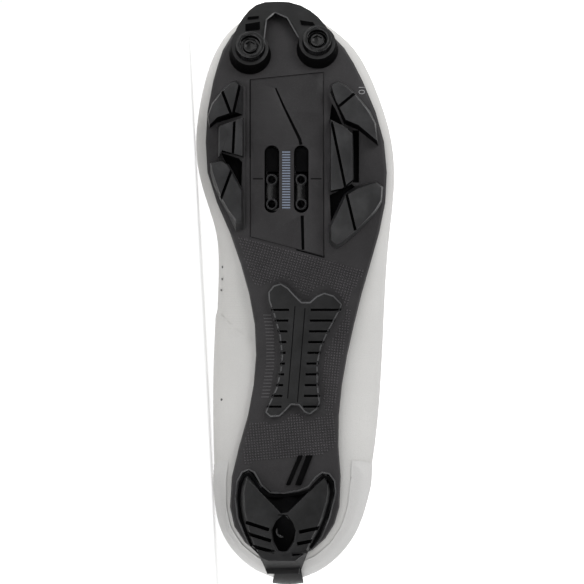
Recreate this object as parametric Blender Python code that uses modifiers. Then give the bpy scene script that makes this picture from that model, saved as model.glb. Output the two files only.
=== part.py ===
"""Left off-road cycling shoe, built on its last and laid on its medial side.

The pieces are modelled in the shoe's own frame: X points to the medial side,
Y from the heel to the toe, Z up from the plane of the tread. An empty then
lays the whole shoe on its medial side, on the ground plane Z = 0.
"""
import math
from collections import namedtuple

import bmesh
import bpy
from mathutils import Matrix, Vector

# Driving sizes, metres
LENGTH = 0.285
BALL_WIDTH = 0.098
WALL = 0.0020
GAP = 0.0003
PLATE_THICK = 0.0055
PLATE_EDGE = 0.0012
CAMBER = 0.0015
TOE_SPRING = 0.029
BULGE_HEIGHT = 0.038
RIDGE_HEIGHT = 0.126

LASTING_SHARE = 0.85
FEATHER_INSET = 0.0010
INSOLE_THICK = 0.0030
INSOLE_INSET = 0.0046
TONGUE_THICK = 0.0030
TONGUE_CLEAR = 0.0015

PANEL_DEPTH = 0.0018
SLOT_WIDTH = 0.0073
SLOT_LENGTH = 0.033
SLOT_SPACING = 0.01435
BOSS_ROW_SPACING = 0.0119
NUT_THICK = 0.0015
NUT_LENGTH = 0.026
NUT_WIDTH = 0.030
BOSS_RADIUS = 0.0028
BOSS_BORE = 0.0020
BOSS_RECESS = 0.0008

TOE_LUG_THICK = 0.0045
SOCKET_RADIUS = 0.0104
SOCKET_HEIGHT = 0.0095
SOCKET_SINK = 0.0040
SOCKET_LIFT = 0.0003
STUD_RADIUS = 0.0074
STUD_BORE = 0.0052
STUD_HEIGHT = 0.0042
STUD_RECESS = 0.0030
KEY_RADIUS = 0.0026
KEY_DEPTH = 0.0022

ARCH_PAD_THICK = 0.0034
ARCH_GROOVE_DEPTH = 0.0018
ARCH_GROOVE_WIDTH = 0.0012
ARCH_GROOVE_PITCH = 0.00525
ARCH_GROOVES = 10
ARCH_SPINE_HALF = 0.0052
BAR_THICK = 0.0016
GROOVE_WIDTH = 0.0014
GROOVE_DEPTH = 0.0035
GROOVE_REACH = 0.0020
HEEL_SCREW_RADIUS = 0.0036
HEEL_SCREW_HEAD = 0.0022
HEEL_RECESS_DEPTH = 0.0065

SKIN_CLEAR = 0.0006
COUNTER_THICK = 0.0008
COUNTER_HEIGHT = 0.058
COUNTER_FOOT = 0.012
COUNTER_LEAN = 0.38
STRIP_THICK = 0.0022
STRIP_TOP = 0.044
BUMPER_THICK = 0.0020
BUMPER_RISE = 0.0085

DIAL_RADIUS = 0.0122
DIAL_HEIGHT = 0.0062
DIAL_GRIPS = 20
DIAL_GRIP_DEPTH = 0.0006
DIAL_BASE_RADIUS = 0.0135
DIAL_BASE_HEIGHT = 0.0024
DIAL_SINK = 0.0060
KNOB_CHAMFER = 0.0008
DIAL_ALONG = 0.400
DIAL_OFFSET = 0.0275

GUIDE_LENGTH = 0.013
GUIDE_WIDTH = 0.0080
GUIDE_FLANGE = 0.0010
GUIDE_CORE = 0.0022
GUIDE_UNDERCUT = 0.0018
GUIDE_INSET = 0.0085
WIRE_RADIUS = 0.0006
WIRE_START_SIDE = 0.014
WIRE_LIFT = 0.0010
WIRE_MIDDLE = 0.0030
WIRE_SINK_SHARE = 0.75

# Plan outlines: how far along the length, and each half width as a share of the ball width
Outline = namedtuple("Outline", "along medial lateral")
UPPER_OUTLINE = (
    Outline(0.010, 0.095, 0.045), Outline(0.031, 0.220, 0.175), Outline(0.072, 0.330, 0.285),
    Outline(0.113, 0.370, 0.340), Outline(0.175, 0.390, 0.385), Outline(0.258, 0.400, 0.420),
    Outline(0.340, 0.395, 0.440), Outline(0.423, 0.385, 0.453), Outline(0.505, 0.375, 0.463),
    Outline(0.588, 0.372, 0.480), Outline(0.629, 0.405, 0.495), Outline(0.670, 0.450, 0.508),
    Outline(0.711, 0.480, 0.510), Outline(0.753, 0.490, 0.500), Outline(0.794, 0.480, 0.470),
    Outline(0.835, 0.460, 0.433), Outline(0.876, 0.430, 0.380), Outline(0.918, 0.382, 0.312),
    Outline(0.955, 0.305, 0.190), Outline(0.978, 0.210, 0.070),
)
UPPER_TIPS = {"heel": (0.007, 0.025), "toe": (0.9905, 0.110)}
SOLE_OUTLINE = (
    Outline(0.044, 0.120, 0.020), Outline(0.056, 0.195, 0.095), Outline(0.080, 0.265, 0.170),
    Outline(0.113, 0.308, 0.220), Outline(0.160, 0.313, 0.240), Outline(0.216, 0.285, 0.230),
    Outline(0.258, 0.245, 0.225), Outline(0.320, 0.205, 0.237), Outline(0.381, 0.185, 0.265),
    Outline(0.440, 0.190, 0.303), Outline(0.505, 0.225, 0.350), Outline(0.546, 0.260, 0.385),
    Outline(0.588, 0.300, 0.420), Outline(0.629, 0.350, 0.450), Outline(0.670, 0.400, 0.465),
    Outline(0.711, 0.430, 0.467), Outline(0.753, 0.435, 0.455), Outline(0.794, 0.430, 0.425),
    Outline(0.835, 0.415, 0.380), Outline(0.876, 0.385, 0.325), Outline(0.918, 0.345, 0.255),
    Outline(0.955, 0.270, 0.145), Outline(0.974, 0.195, 0.065),
)
SOLE_TIPS = {"heel": (0.036, 0.050), "toe": (0.9850, 0.120)}

# Heights along the length: the plate's underside as a share of the toe spring, the middle
# of the widest band and its depth as shares of the bulge height, ridge and top line as
# shares of the ridge height, and how peaked the section is
Profile = namedtuple("Profile", "along plate bulge flat ridge top peak")
PROFILES = (
    Profile(0.00, 0.43, 0.92, 0.24, 0.94, 0.700, 1.00), Profile(0.05, 0.36, 0.87, 0.36, 0.94, 0.668, 1.00),
    Profile(0.13, 0.33, 0.83, 0.46, 0.94, 0.605, 1.00), Profile(0.22, 0.35, 0.83, 0.46, 0.95, 0.590, 1.00),
    Profile(0.30, 0.43, 0.90, 0.32, 0.98, 0.675, 1.05), Profile(0.36, 0.50, 1.00, 0.16, 1.00, 0.825, 1.15),
    Profile(0.40, 0.54, 1.03, 0.08, 0.99, 0.905, 1.20), Profile(0.44, 0.55, 1.04, 0.05, 0.95, 0.920, 1.20),
    Profile(0.50, 0.51, 1.01, 0.05, 0.86, 0.860, 1.20), Profile(0.57, 0.38, 0.95, 0.15, 0.76, 0.760, 1.15),
    Profile(0.62, 0.32, 0.90, 0.28, 0.70, 0.700, 1.10), Profile(0.67, 0.31, 0.83, 0.42, 0.65, 0.650, 1.05),
    Profile(0.72, 0.31, 0.81, 0.47, 0.60, 0.600, 1.00), Profile(0.80, 0.32, 0.84, 0.42, 0.54, 0.540, 1.00),
    Profile(0.86, 0.41, 0.93, 0.30, 0.50, 0.500, 1.00), Profile(0.93, 0.65, 1.02, 0.14, 0.46, 0.460, 1.00),
    Profile(1.00, 0.98, 1.18, 0.05, 0.40, 0.400, 1.00),
)

# Centre line of the ribs and the two pivots round which they fan out
Centre = namedtuple("Centre", "along side")
CENTRE_LINE = (
    Centre(0.13, 0.025), Centre(0.30, -0.005), Centre(0.45, -0.030), Centre(0.60, -0.030),
    Centre(0.72, -0.010), Centre(0.86, 0.055),
)
TOE_PIVOT = 0.86
HEEL_PIVOT = 0.13
SIDE_RIBS = 15
TOE_ANGLES = (90, 74, 58, 43, 28, 14)
HEEL_ANGLES = (-20, -40, -60, -78, -90, -102, -120, -140, -160)

# Toe bumper: the ribs that it spans, and how it rises over them as a share of its rise
BUMPER_ANGLES = (56, 62, 68, 74, 80, 86, 92, 98, 104, 110)
BUMPER_END_RISE = 0.15

# How far forward the heel counter reaches: its last ribs, and the foot of its leaning edge
COUNTER_REACH = 0.24
COUNTER_FRONT = 0.216

# The throat: half its width as a share of the ball width, from its foot to the collar
Throat = namedtuple("Throat", "along half")
THROAT = (
    Throat(0.44, 0.150), Throat(0.50, 0.148), Throat(0.58, 0.135), Throat(0.65, 0.110),
    Throat(0.68, 0.070), Throat(0.705, 0.0),
)
THROAT_FOOT = 0.70
COLLAR_FRONT = 0.44

# Tongue: half width as a share of the ball width
Strap = namedtuple("Strap", "along half")
TONGUE = (
    Strap(0.375, 0.150), Strap(0.390, 0.215), Strap(0.42, 0.245), Strap(0.48, 0.245),
    Strap(0.55, 0.225), Strap(0.62, 0.200), Strap(0.68, 0.175), Strap(0.73, 0.150),
)

# Lugs: the tread's corners and the foot's corners in pairs, each as a share of the length
# and of the ball width from the centre line
Corner = namedtuple("Corner", "tread_along tread_side foot_along foot_side")
MEDIAL_FRONT = (
    Corner(0.857, 0.285, 0.861, 0.283), Corner(0.847, 0.260, 0.850, 0.248),
    Corner(0.807, 0.295, 0.802, 0.248), Corner(0.797, 0.378, 0.789, 0.378),
    Corner(0.784, 0.415, 0.779, 0.416), Corner(0.799, 0.422, 0.799, 0.427),
    Corner(0.820, 0.398, 0.822, 0.404), Corner(0.841, 0.350, 0.843, 0.358),
    Corner(0.854, 0.311, 0.857, 0.316),
)
MEDIAL_MIDDLE = (
    Corner(0.782, 0.365, 0.783, 0.377), Corner(0.796, 0.252, 0.796, 0.245),
    Corner(0.731, 0.252, 0.729, 0.245), Corner(0.741, 0.352, 0.739, 0.358),
    Corner(0.730, 0.368, 0.728, 0.375),
)
MEDIAL_REAR = (
    Corner(0.718, 0.406, 0.719, 0.414), Corner(0.722, 0.355, 0.725, 0.358),
    Corner(0.716, 0.328, 0.717, 0.318), Corner(0.671, 0.258, 0.673, 0.249),
    Corner(0.621, 0.257, 0.606, 0.246), Corner(0.623, 0.284, 0.603, 0.285),
    Corner(0.640, 0.322, 0.634, 0.328), Corner(0.662, 0.357, 0.658, 0.366),
    Corner(0.685, 0.381, 0.681, 0.395), Corner(0.704, 0.399, 0.702, 0.411),
)
LATERAL_FRONT = (
    Corner(0.857, -0.220, 0.860, -0.220), Corner(0.850, -0.260, 0.853, -0.265),
    Corner(0.837, -0.303, 0.840, -0.310), Corner(0.822, -0.340, 0.824, -0.348),
    Corner(0.805, -0.376, 0.808, -0.386), Corner(0.787, -0.405, 0.787, -0.414),
    Corner(0.757, -0.418, 0.749, -0.425), Corner(0.784, -0.325, 0.776, -0.325),
    Corner(0.793, -0.262, 0.787, -0.254), Corner(0.841, -0.192, 0.842, -0.185),
    Corner(0.853, -0.196, 0.854, -0.188),
)
LATERAL_MIDDLE = (
    Corner(0.793, -0.190, 0.794, -0.183), Corner(0.781, -0.255, 0.781, -0.246),
    Corner(0.769, -0.295, 0.768, -0.300), Corner(0.690, -0.295, 0.690, -0.303),
    Corner(0.676, -0.245, 0.674, -0.250), Corner(0.672, -0.190, 0.669, -0.183),
)
LATERAL_REAR = (
    Corner(0.663, -0.263, 0.667, -0.254), Corner(0.674, -0.318, 0.680, -0.313),
    Corner(0.680, -0.365, 0.684, -0.365), Corner(0.685, -0.412, 0.688, -0.413),
    Corner(0.677, -0.440, 0.679, -0.449), Corner(0.655, -0.435, 0.653, -0.444),
    Corner(0.639, -0.407, 0.635, -0.416), Corner(0.622, -0.363, 0.617, -0.370),
    Corner(0.604, -0.308, 0.598, -0.316), Corner(0.584, -0.240, 0.578, -0.246),
    Corner(0.580, -0.215, 0.572, -0.214), Corner(0.586, -0.192, 0.581, -0.181),
    Corner(0.610, -0.190, 0.612, -0.179),
)
HEEL_LUG = (
    Corner(0.180, 0.228, 0.196, 0.220), Corner(0.168, 0.236, 0.183, 0.258),
    Corner(0.156, 0.241, 0.164, 0.274), Corner(0.125, 0.237, 0.138, 0.276),
    Corner(0.092, 0.217, 0.099, 0.258), Corner(0.064, 0.188, 0.064, 0.216),
    Corner(0.044, 0.155, 0.045, 0.160), Corner(0.039, 0.120, 0.040, 0.120),
    Corner(0.039, -0.010, 0.040, -0.010), Corner(0.051, -0.056, 0.050, -0.062),
    Corner(0.078, -0.091, 0.072, -0.108), Corner(0.106, -0.132, 0.100, -0.158),
    Corner(0.141, -0.164, 0.140, -0.210), Corner(0.156, -0.170, 0.160, -0.214),
    Corner(0.169, -0.170, 0.181, -0.194), Corner(0.181, -0.157, 0.190, -0.165),
    Corner(0.152, -0.065, 0.164, -0.090), Corner(0.122, 0.025, 0.155, -0.050),
    Corner(0.120, 0.060, 0.152, 0.090), Corner(0.161, 0.175, 0.166, 0.145),
)

# Flat outlines: share of the length and share of the ball width from the centre line
Point = namedtuple("Point", "along side")
TOE_LUG = (
    Point(0.910, 0.320), Point(0.935, 0.302), Point(0.955, 0.276), Point(0.971, 0.247),
    Point(0.983, 0.218), Point(0.992, 0.184), Point(0.997, 0.140), Point(0.998, 0.080),
    Point(0.997, 0.020), Point(0.991, -0.040), Point(0.982, -0.087), Point(0.971, -0.126),
    Point(0.957, -0.160), Point(0.939, -0.198), Point(0.920, -0.225), Point(0.912, -0.140),
    Point(0.922, -0.045),
    Point(0.931, -0.030), Point(0.960, 0.005), Point(0.972, 0.045), Point(0.976, 0.085),
    Point(0.967, 0.125), Point(0.947, 0.138), Point(0.925, 0.142), Point(0.905, 0.215),
)
SOCKETS = (Point(0.9045, 0.213), Point(0.9140, -0.121))
ARCH_PAD = (
    Point(0.499, 0.128), Point(0.511, 0.100), Point(0.515, 0.060), Point(0.507, 0.022),
    Point(0.493, -0.015), Point(0.483, -0.045), Point(0.483, -0.082), Point(0.493, -0.115),
    Point(0.499, -0.155), Point(0.494, -0.205), Point(0.478, -0.250), Point(0.468, -0.240),
    Point(0.432, -0.183), Point(0.404, -0.145), Point(0.374, -0.128), Point(0.340, -0.128),
    Point(0.309, -0.139), Point(0.297, -0.125), Point(0.287, -0.085), Point(0.291, -0.055),
    Point(0.303, -0.027), Point(0.304, 0.007), Point(0.293, 0.037), Point(0.284, 0.065),
    Point(0.283, 0.115), Point(0.292, 0.144), Point(0.307, 0.125), Point(0.334, 0.089),
    Point(0.364, 0.068), Point(0.389, 0.061), Point(0.422, 0.071), Point(0.458, 0.099),
    Point(0.483, 0.125),
)
ARCH_SPINE = (Point(0.468, -0.035), Point(0.316, 0.000))
PANEL = (Point(0.863, 0.215), Point(0.876, -0.152), Point(0.559, -0.155), Point(0.593, 0.213))
SLOT_CENTRE = Point(0.692, 0.032)
BOSS_CENTRE = Point(0.670, 0.032)
HEEL_DROP = (
    Point(0.119, 0.047), Point(0.107, 0.010), Point(0.090, -0.013), Point(0.071, -0.005),
    Point(0.056, 0.025), Point(0.054, 0.050), Point(0.057, 0.075), Point(0.071, 0.100),
    Point(0.090, 0.108), Point(0.107, 0.085),
)
HEEL_SCREW = Point(0.089, 0.056)
HEEL_BARS = (
    (Point(0.219, -0.027), Point(0.219, -0.050), Point(0.168, 0.015), Point(0.168, 0.036)),
    (Point(0.219, -0.067), Point(0.219, -0.099), Point(0.168, -0.041), Point(0.168, -0.010)),
)

# Grooves: both ends of each, as shares of the length and of the ball width
Groove = namedtuple("Groove", "along_a side_a along_b side_b")
LUG_GROOVES = {
    "medial_front_lug": (Groove(0.842, 0.352, 0.800, 0.305), Groove(0.856, 0.262, 0.800, 0.300)),
    "medial_middle_lug": (Groove(0.800, 0.290, 0.724, 0.300),),
    "medial_rear_lug": (Groove(0.712, 0.300, 0.655, 0.362),),
    "lateral_front_lug": (Groove(0.858, -0.175, 0.812, -0.220), Groove(0.812, -0.215, 0.842, -0.320)),
    "lateral_middle_lug": (Groove(0.790, -0.192, 0.675, -0.262),),
    "lateral_rear_lug": (Groove(0.672, -0.262, 0.604, -0.310),),
    "heel_lug": (
        Groove(0.105, 0.235, 0.092, 0.118), Groove(0.086, 0.228, 0.073, 0.108),
        Groove(0.064, 0.200, 0.054, 0.092), Groove(0.088, -0.030, 0.097, -0.150),
        Groove(0.068, -0.020, 0.075, -0.125), Groove(0.050, 0.005, 0.055, -0.095),
    ),
}

# Lace guides: where each pair sits along the throat
GUIDE_ALONGS = (0.485, 0.555, 0.620)

# Colours
COLOURS = {
    "upper": ((0.600, 0.590, 0.570), 0.55, 0.0),
    "counter": ((0.560, 0.555, 0.545), 0.50, 0.0),
    "tongue": ((0.500, 0.500, 0.495), 0.80, 0.0),
    "insole": ((0.080, 0.080, 0.085), 0.90, 0.0),
    "plate": ((0.040, 0.038, 0.040), 0.55, 0.0),
    "panel": ((0.036, 0.034, 0.036), 0.50, 0.0),
    "rubber": ((0.012, 0.012, 0.013), 0.42, 0.0),
    "steel": ((0.080, 0.080, 0.085), 0.35, 0.9),
    "dial": ((0.015, 0.015, 0.016), 0.40, 0.0),
    "wire": ((0.250, 0.250, 0.260), 0.35, 0.6),
}

TALL = 0.030
LAYER_GROW = 0.0060
TOE_LAYER_GROW = 0.0065
PROBE = 0.0020
PROBE_SHARE = 0.01
FINE = 1e-6


def clear_scene():
    for item in list(bpy.data.objects):
        bpy.data.objects.remove(item, do_unlink=True)


def new_collection(name):
    group = bpy.data.collections.new(name)
    bpy.context.scene.collection.children.link(group)
    return group


def material(name):
    found = bpy.data.materials.get(name)
    if found:
        return found
    colour, roughness, metallic = COLOURS[name]
    made = bpy.data.materials.new(name)
    made.use_nodes = True
    shader = made.node_tree.nodes["Principled BSDF"]
    shader.inputs["Base Color"].default_value = (*colour, 1.0)
    shader.inputs["Roughness"].default_value = roughness
    shader.inputs["Metallic"].default_value = metallic
    return made


def smooth(mesh):
    mesh.shade_smooth()
    mesh.set_sharp_from_angle(angle=math.radians(35))


def object_from_bmesh(name, bm, group, finish=None):
    mesh = bpy.data.meshes.new(name)
    bm.to_mesh(mesh)
    bm.free()
    made = bpy.data.objects.new(name, mesh)
    group.objects.link(made)
    if finish:
        mesh.materials.append(material(finish))
        smooth(mesh)
    return made


def bake(item):
    """Turn the modifiers of an object into its mesh."""
    bpy.context.view_layer.update()
    depsgraph = bpy.context.evaluated_depsgraph_get()
    mesh = bpy.data.meshes.new_from_object(item.evaluated_get(depsgraph))
    item.modifiers.clear()
    item.data = mesh
    return item


def combine(item, tool, operation):
    """Cut, join or cross an object with a tool, which is used up."""
    modifier = item.modifiers.new("shape", "BOOLEAN")
    modifier.operation = operation
    modifier.solver = "EXACT"
    modifier.object = tool
    bake(item)
    bpy.data.objects.remove(tool, do_unlink=True)
    return item


def tidy(item, finish):
    """Merge what the cuts left and give the piece its finish."""
    bm = bmesh.new()
    bm.from_mesh(item.data)
    bmesh.ops.remove_doubles(bm, verts=bm.verts, dist=2 * FINE)
    bmesh.ops.dissolve_degenerate(bm, edges=bm.edges, dist=2 * FINE)
    bm.to_mesh(item.data)
    bm.free()
    item.data.materials.clear()
    item.data.materials.append(material(finish))
    smooth(item.data)
    return item


def read(table, column, along):
    """A smooth reading of one column of a table, by how far along the shoe."""
    rows = list(table)
    if along <= rows[0].along:
        return getattr(rows[0], column)
    if along >= rows[-1].along:
        return getattr(rows[-1], column)
    place = max(i for i in range(len(rows) - 1) if rows[i].along <= along)
    left, right = rows[place], rows[place + 1]
    span = right.along - left.along
    part = (along - left.along) / span
    low, high = getattr(left, column), getattr(right, column)

    def slope(index):
        before = rows[max(index - 1, 0)]
        after = rows[min(index + 1, len(rows) - 1)]
        return (getattr(after, column) - getattr(before, column)) / (after.along - before.along)

    start, end = slope(place) * span, slope(place + 1) * span
    limit = 3.0 * abs(high - low)
    start = max(-limit, min(limit, start))
    end = max(-limit, min(limit, end))
    square, cube = part * part, part ** 3
    return (
        (2 * cube - 3 * square + 1) * low + (cube - 2 * square + part) * start
        + (3 * square - 2 * cube) * high + (cube - square) * end
    )


def at(point):
    """Plan position of a point given by its shares."""
    return Vector((point.side * BALL_WIDTH, point.along * LENGTH))


def closed_outline(rows, tips, steps=8):
    """A smooth closed plan outline through the rows and the two tips."""
    points = [at(Point(*tips["toe"]))]
    points += [at(Point(row.along, row.medial)) for row in reversed(rows)]
    points += [at(Point(*tips["heel"]))]
    points += [at(Point(row.along, -row.lateral)) for row in rows]
    count = len(points)
    curve = []
    for i in range(count):
        before, here = points[i - 1], points[i]
        after, later = points[(i + 1) % count], points[(i + 2) % count]
        for step in range(steps):
            u = step / steps
            curve.append(0.5 * (
                2 * here + (after - before) * u
                + (2 * before - 5 * here + 4 * after - later) * u ** 2
                + (3 * here - before - 3 * after + later) * u ** 3
            ))
    return curve


def reach(outline, origin, direction):
    """Distance from a point inside an outline to it, in one direction."""
    best = 0.0
    for i in range(len(outline)):
        a = outline[i - 1] - origin
        b = outline[i] - origin
        edge = b - a
        cross = direction.x * edge.y - direction.y * edge.x
        if abs(cross) < 1e-12:
            continue
        distance = (a.x * edge.y - a.y * edge.x) / cross
        share = (a.x * direction.y - a.y * direction.x) / cross
        if distance > best and -1e-9 <= share <= 1 + 1e-9:
            best = distance
    return best


class Rib:
    """One vertical half section, from the centre line outwards."""

    def __init__(self, along, angle):
        self.along = along
        self.angle = angle
        turn = math.radians(angle)
        self.direction = Vector((math.cos(turn), math.sin(turn)))
        self.origin = at(Point(along, read(CENTRE_LINE, "side", along)))
        self.upper = reach(UPPER_CURVE, self.origin, self.direction)
        self.sole = reach(SOLE_CURVE, self.origin, self.direction)
        self.edge_along = self.share_along(self.upper)

    def share_along(self, distance):
        return (self.origin.y + distance * self.direction.y) / LENGTH

    def place(self, distance, height):
        flat = self.origin + self.direction * distance
        return Vector((flat.x, flat.y, height))

    def plate(self, distance):
        """Height of the plate's underside at a distance from the centre line."""
        share = min(distance / self.sole, 1.0)
        along = self.share_along(distance)
        return read(PROFILES, "plate", along) * TOE_SPRING + CAMBER * share ** 3

    def levels(self):
        """Bottom and top of the widest band, and the ridge."""
        middle = read(PROFILES, "bulge", self.edge_along) * BULGE_HEIGHT
        depth = read(PROFILES, "flat", self.edge_along) * BULGE_HEIGHT
        ridge = read(PROFILES, "ridge", self.along) * RIDGE_HEIGHT
        return middle - depth / 2, middle + depth / 2, ridge

    def wall(self, turn):
        """A point of the upper's outer face, from the widest band (0) to the ridge (90 degrees)."""
        low, bulge, ridge = self.levels()
        peak = read(PROFILES, "peak", self.along)
        distance = self.upper * max(math.cos(turn), 0.0) ** peak
        return self.place(distance, bulge + (ridge - bulge) * math.sin(turn))

    def turn_at_distance(self, distance):
        peak = read(PROFILES, "peak", self.along)
        return math.acos(min(distance / self.upper, 1.0) ** (1 / peak))

    def turn_at_height(self, height):
        low, bulge, ridge = self.levels()
        return math.asin(max(0.0, min((height - bulge) / (ridge - bulge), 1.0)))

    def top_turn(self):
        """Where the upper ends on this rib: the ridge, the throat or the collar."""
        if self.along >= THROAT_FOOT:
            return math.pi / 2
        if self.along >= COLLAR_FRONT:
            return self.turn_at_distance(read(THROAT, "half", self.along) * BALL_WIDTH)
        height = read(PROFILES, "top", min(self.edge_along, self.along)) * RIDGE_HEIGHT
        return self.turn_at_height(height)

    def foot(self, steps):
        """The lower part of the wall, from the feather line out to the widest band."""
        bulge = self.levels()[0]
        feather = self.sole - FEATHER_INSET
        height = self.plate(feather) + PLATE_THICK + GAP
        points = []
        for step in range(steps + 1):
            turn = math.pi / 2 * step / steps
            distance = feather + (self.upper - feather) * math.sin(turn)
            points.append(self.place(distance, height + (bulge - height) * (1 - math.cos(turn))))
        return points

    def lasting(self):
        """The turned-in edge that lies on the plate."""
        distance = self.sole * LASTING_SHARE
        return self.place(distance, self.plate(distance) + PLATE_THICK + GAP)


UPPER_CURVE = closed_outline(UPPER_OUTLINE, UPPER_TIPS)
SOLE_CURVE = closed_outline(SOLE_OUTLINE, SOLE_TIPS)


def all_ribs():
    """The ribs once round the shoe, from the toe by the medial side."""
    step = (TOE_PIVOT - HEEL_PIVOT) / (SIDE_RIBS - 1)
    alongs = [TOE_PIVOT - step * i for i in range(SIDE_RIBS)]
    ribs = [Rib(TOE_PIVOT, angle) for angle in TOE_ANGLES]
    ribs += [Rib(along, 0) for along in alongs]
    ribs += [Rib(HEEL_PIVOT, angle) for angle in HEEL_ANGLES]
    ribs += [Rib(along, 180) for along in reversed(alongs)]
    ribs += [Rib(TOE_PIVOT, 180 - angle) for angle in reversed(TOE_ANGLES) if angle < 90]
    return ribs


def skin(rows, closed):
    """An open surface over rows of points, its faces pointing out."""
    bm = bmesh.new()
    grid = [[bm.verts.new(point) for point in row] for row in rows]
    last = len(grid) if closed else len(grid) - 1
    for i in range(last):
        row, after = grid[i], grid[(i + 1) % len(grid)]
        for j in range(len(row) - 1):
            bm.faces.new((row[j], row[j + 1], after[j + 1], after[j]))
    bmesh.ops.remove_doubles(bm, verts=bm.verts, dist=2 * FINE)
    bmesh.ops.dissolve_degenerate(bm, edges=bm.edges, dist=2 * FINE)
    bm.normal_update()
    return bm


def push_out(bm, distance):
    for vert in bm.verts:
        vert.co += vert.normal * distance
    bm.normal_update()


def flip_if(bm, wrong):
    if wrong:
        bmesh.ops.reverse_faces(bm, faces=bm.faces)
        bm.normal_update()


def facing(bm, centre):
    """How far the faces point away from a centre, in all."""
    return sum((f.calc_center_median() - centre).dot(f.normal) * f.calc_area() for f in bm.faces)


def thicken(item, thickness, side):
    """Give an open surface its wall: side -1 grows inwards, 1 outwards."""
    wall = item.modifiers.new("wall", "SOLIDIFY")
    wall.thickness = thickness
    wall.offset = side
    wall.use_even_offset = True
    wall.use_rim = True
    return bake(item)


def shoe_middle():
    return Vector((0.0, LENGTH / 2, BULGE_HEIGHT))


def build_upper(group, ribs):
    rows = []
    for rib in ribs:
        top = rib.top_turn()
        row = [rib.lasting()] + rib.foot(4)
        row += [rib.wall(top * step / 8) for step in range(9)]
        rows.append(row)
    bm = skin(rows, True)
    flip_if(bm, facing(bm, shoe_middle()) < 0)
    item = object_from_bmesh("upper", bm, group)
    thicken(item, WALL, -1)
    return tidy(item, "upper")


def upper_form(name, ribs, clearance, group):
    """The upper's outer face as a closed form, for shaping what lies on it."""
    rows = []
    for rib in ribs:
        row = [rib.place(0.0, rib.plate(0.0) + PLATE_THICK)] + rib.foot(4)
        row += [rib.wall(math.pi / 2 * step / 12) for step in range(13)]
        rows.append(row)
    bm = skin(rows, True)
    flip_if(bm, facing(bm, shoe_middle()) < 0)
    push_out(bm, clearance)
    return object_from_bmesh(name, bm, group)


def build_counter(group, tools, ribs):
    """Heel counter: an overlay on the upper, highest at the back, its front edges leaning back."""
    rows = []
    for rib in ribs:
        if rib.along > COUNTER_REACH:
            continue
        front = max(0.0, (rib.edge_along - HEEL_PIVOT) / (COUNTER_REACH - HEEL_PIVOT))
        height = COUNTER_HEIGHT - (COUNTER_HEIGHT - BULGE_HEIGHT) * front ** 2
        top = rib.turn_at_height(height)
        rows.append(rib.foot(4)[1:] + [rib.wall(top * step / 4) for step in range(5)])
    bm = skin(rows, False)
    flip_if(bm, facing(bm, shoe_middle()) < 0)
    push_out(bm, SKIN_CLEAR)
    item = object_from_bmesh("heel_counter", bm, group)
    thicken(item, COUNTER_THICK, 1)
    corners = []
    for height in (0.0, 2 * COUNTER_HEIGHT):
        edge = COUNTER_FRONT * LENGTH - COUNTER_LEAN * (height - COUNTER_FOOT)
        corners.append((edge, height))
    far = COUNTER_REACH * LENGTH * 2
    outline = (corners[0], (far, 0.0), (far, corners[1][1]), corners[1])
    rings = [[Vector((side, y, z)) for y, z in outline] for side in (-BALL_WIDTH, BALL_WIDTH)]
    combine(item, prism("front", rings, tools), "DIFFERENCE")
    return tidy(item, "counter")


def build_heel_strip(group, ribs):
    """Strip that climbs the back of the heel from the plate."""
    rows = []
    for rib in ribs:
        if rib.along != HEEL_PIVOT or not -102 <= rib.angle <= -78:
            continue
        row = rib.foot(4)[1:] + [rib.wall(rib.turn_at_height(STRIP_TOP) * s / 3) for s in range(4)]
        rows.append(row)
    bm = skin(rows, False)
    flip_if(bm, facing(bm, shoe_middle()) < 0)
    push_out(bm, SKIN_CLEAR + COUNTER_THICK + GAP)
    item = object_from_bmesh("heel_strip", bm, group)
    thicken(item, STRIP_THICK, 1)
    return tidy(item, "rubber")


def build_bumper(group):
    """Toe bumper: the rubber that turns up in front of the toe."""
    first, last = BUMPER_ANGLES[0], BUMPER_ANGLES[-1]
    rows = []
    for angle in BUMPER_ANGLES:
        rib = Rib(TOE_PIVOT, angle)
        share = math.sin(math.pi * (angle - first) / (last - first))
        foot = rib.foot(4)[1:]
        top = rib.turn_at_height(foot[-1].z + BUMPER_RISE * max(share, BUMPER_END_RISE))
        rows.append(foot + [rib.wall(top * step / 3) for step in range(4)])
    bm = skin(rows, False)
    flip_if(bm, facing(bm, shoe_middle()) < 0)
    push_out(bm, SKIN_CLEAR)
    item = object_from_bmesh("toe_bumper", bm, group)
    thicken(item, BUMPER_THICK, 1)
    return tidy(item, "rubber")


def build_tongue(group):
    rows = []
    steps = 14
    first, last = TONGUE[0].along, TONGUE[-1].along
    for i in range(steps + 1):
        along = first + (last - first) * i / steps
        half = read(TONGUE, "half", along) * BALL_WIDTH
        medial, lateral = Rib(along, 0), Rib(along, 180)
        row = []
        for j in range(-4, 5):
            rib = medial if j >= 0 else lateral
            row.append(rib.wall(rib.turn_at_distance(half * abs(j) / 4)))
        rows.append(row)
    bm = skin(rows, False)
    flip_if(bm, sum(f.normal.z for f in bm.faces) < 0)
    push_out(bm, -(WALL + TONGUE_CLEAR))
    item = object_from_bmesh("tongue", bm, group)
    thicken(item, TONGUE_THICK, -1)
    return tidy(item, "tongue")


def sheet(name, ribs, profile, inset, group):
    """A closed sheet that follows the plate: profile rows are share of the reach and rise."""
    rows = []
    for rib in ribs:
        row = []
        for share, rise in profile:
            distance = share * (rib.sole - inset)
            row.append(rib.place(distance, rib.plate(distance) + rise))
        rows.append(row)
    bm = skin(rows, True)
    bmesh.ops.recalc_face_normals(bm, faces=bm.faces)
    return object_from_bmesh(name, bm, group)


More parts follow.
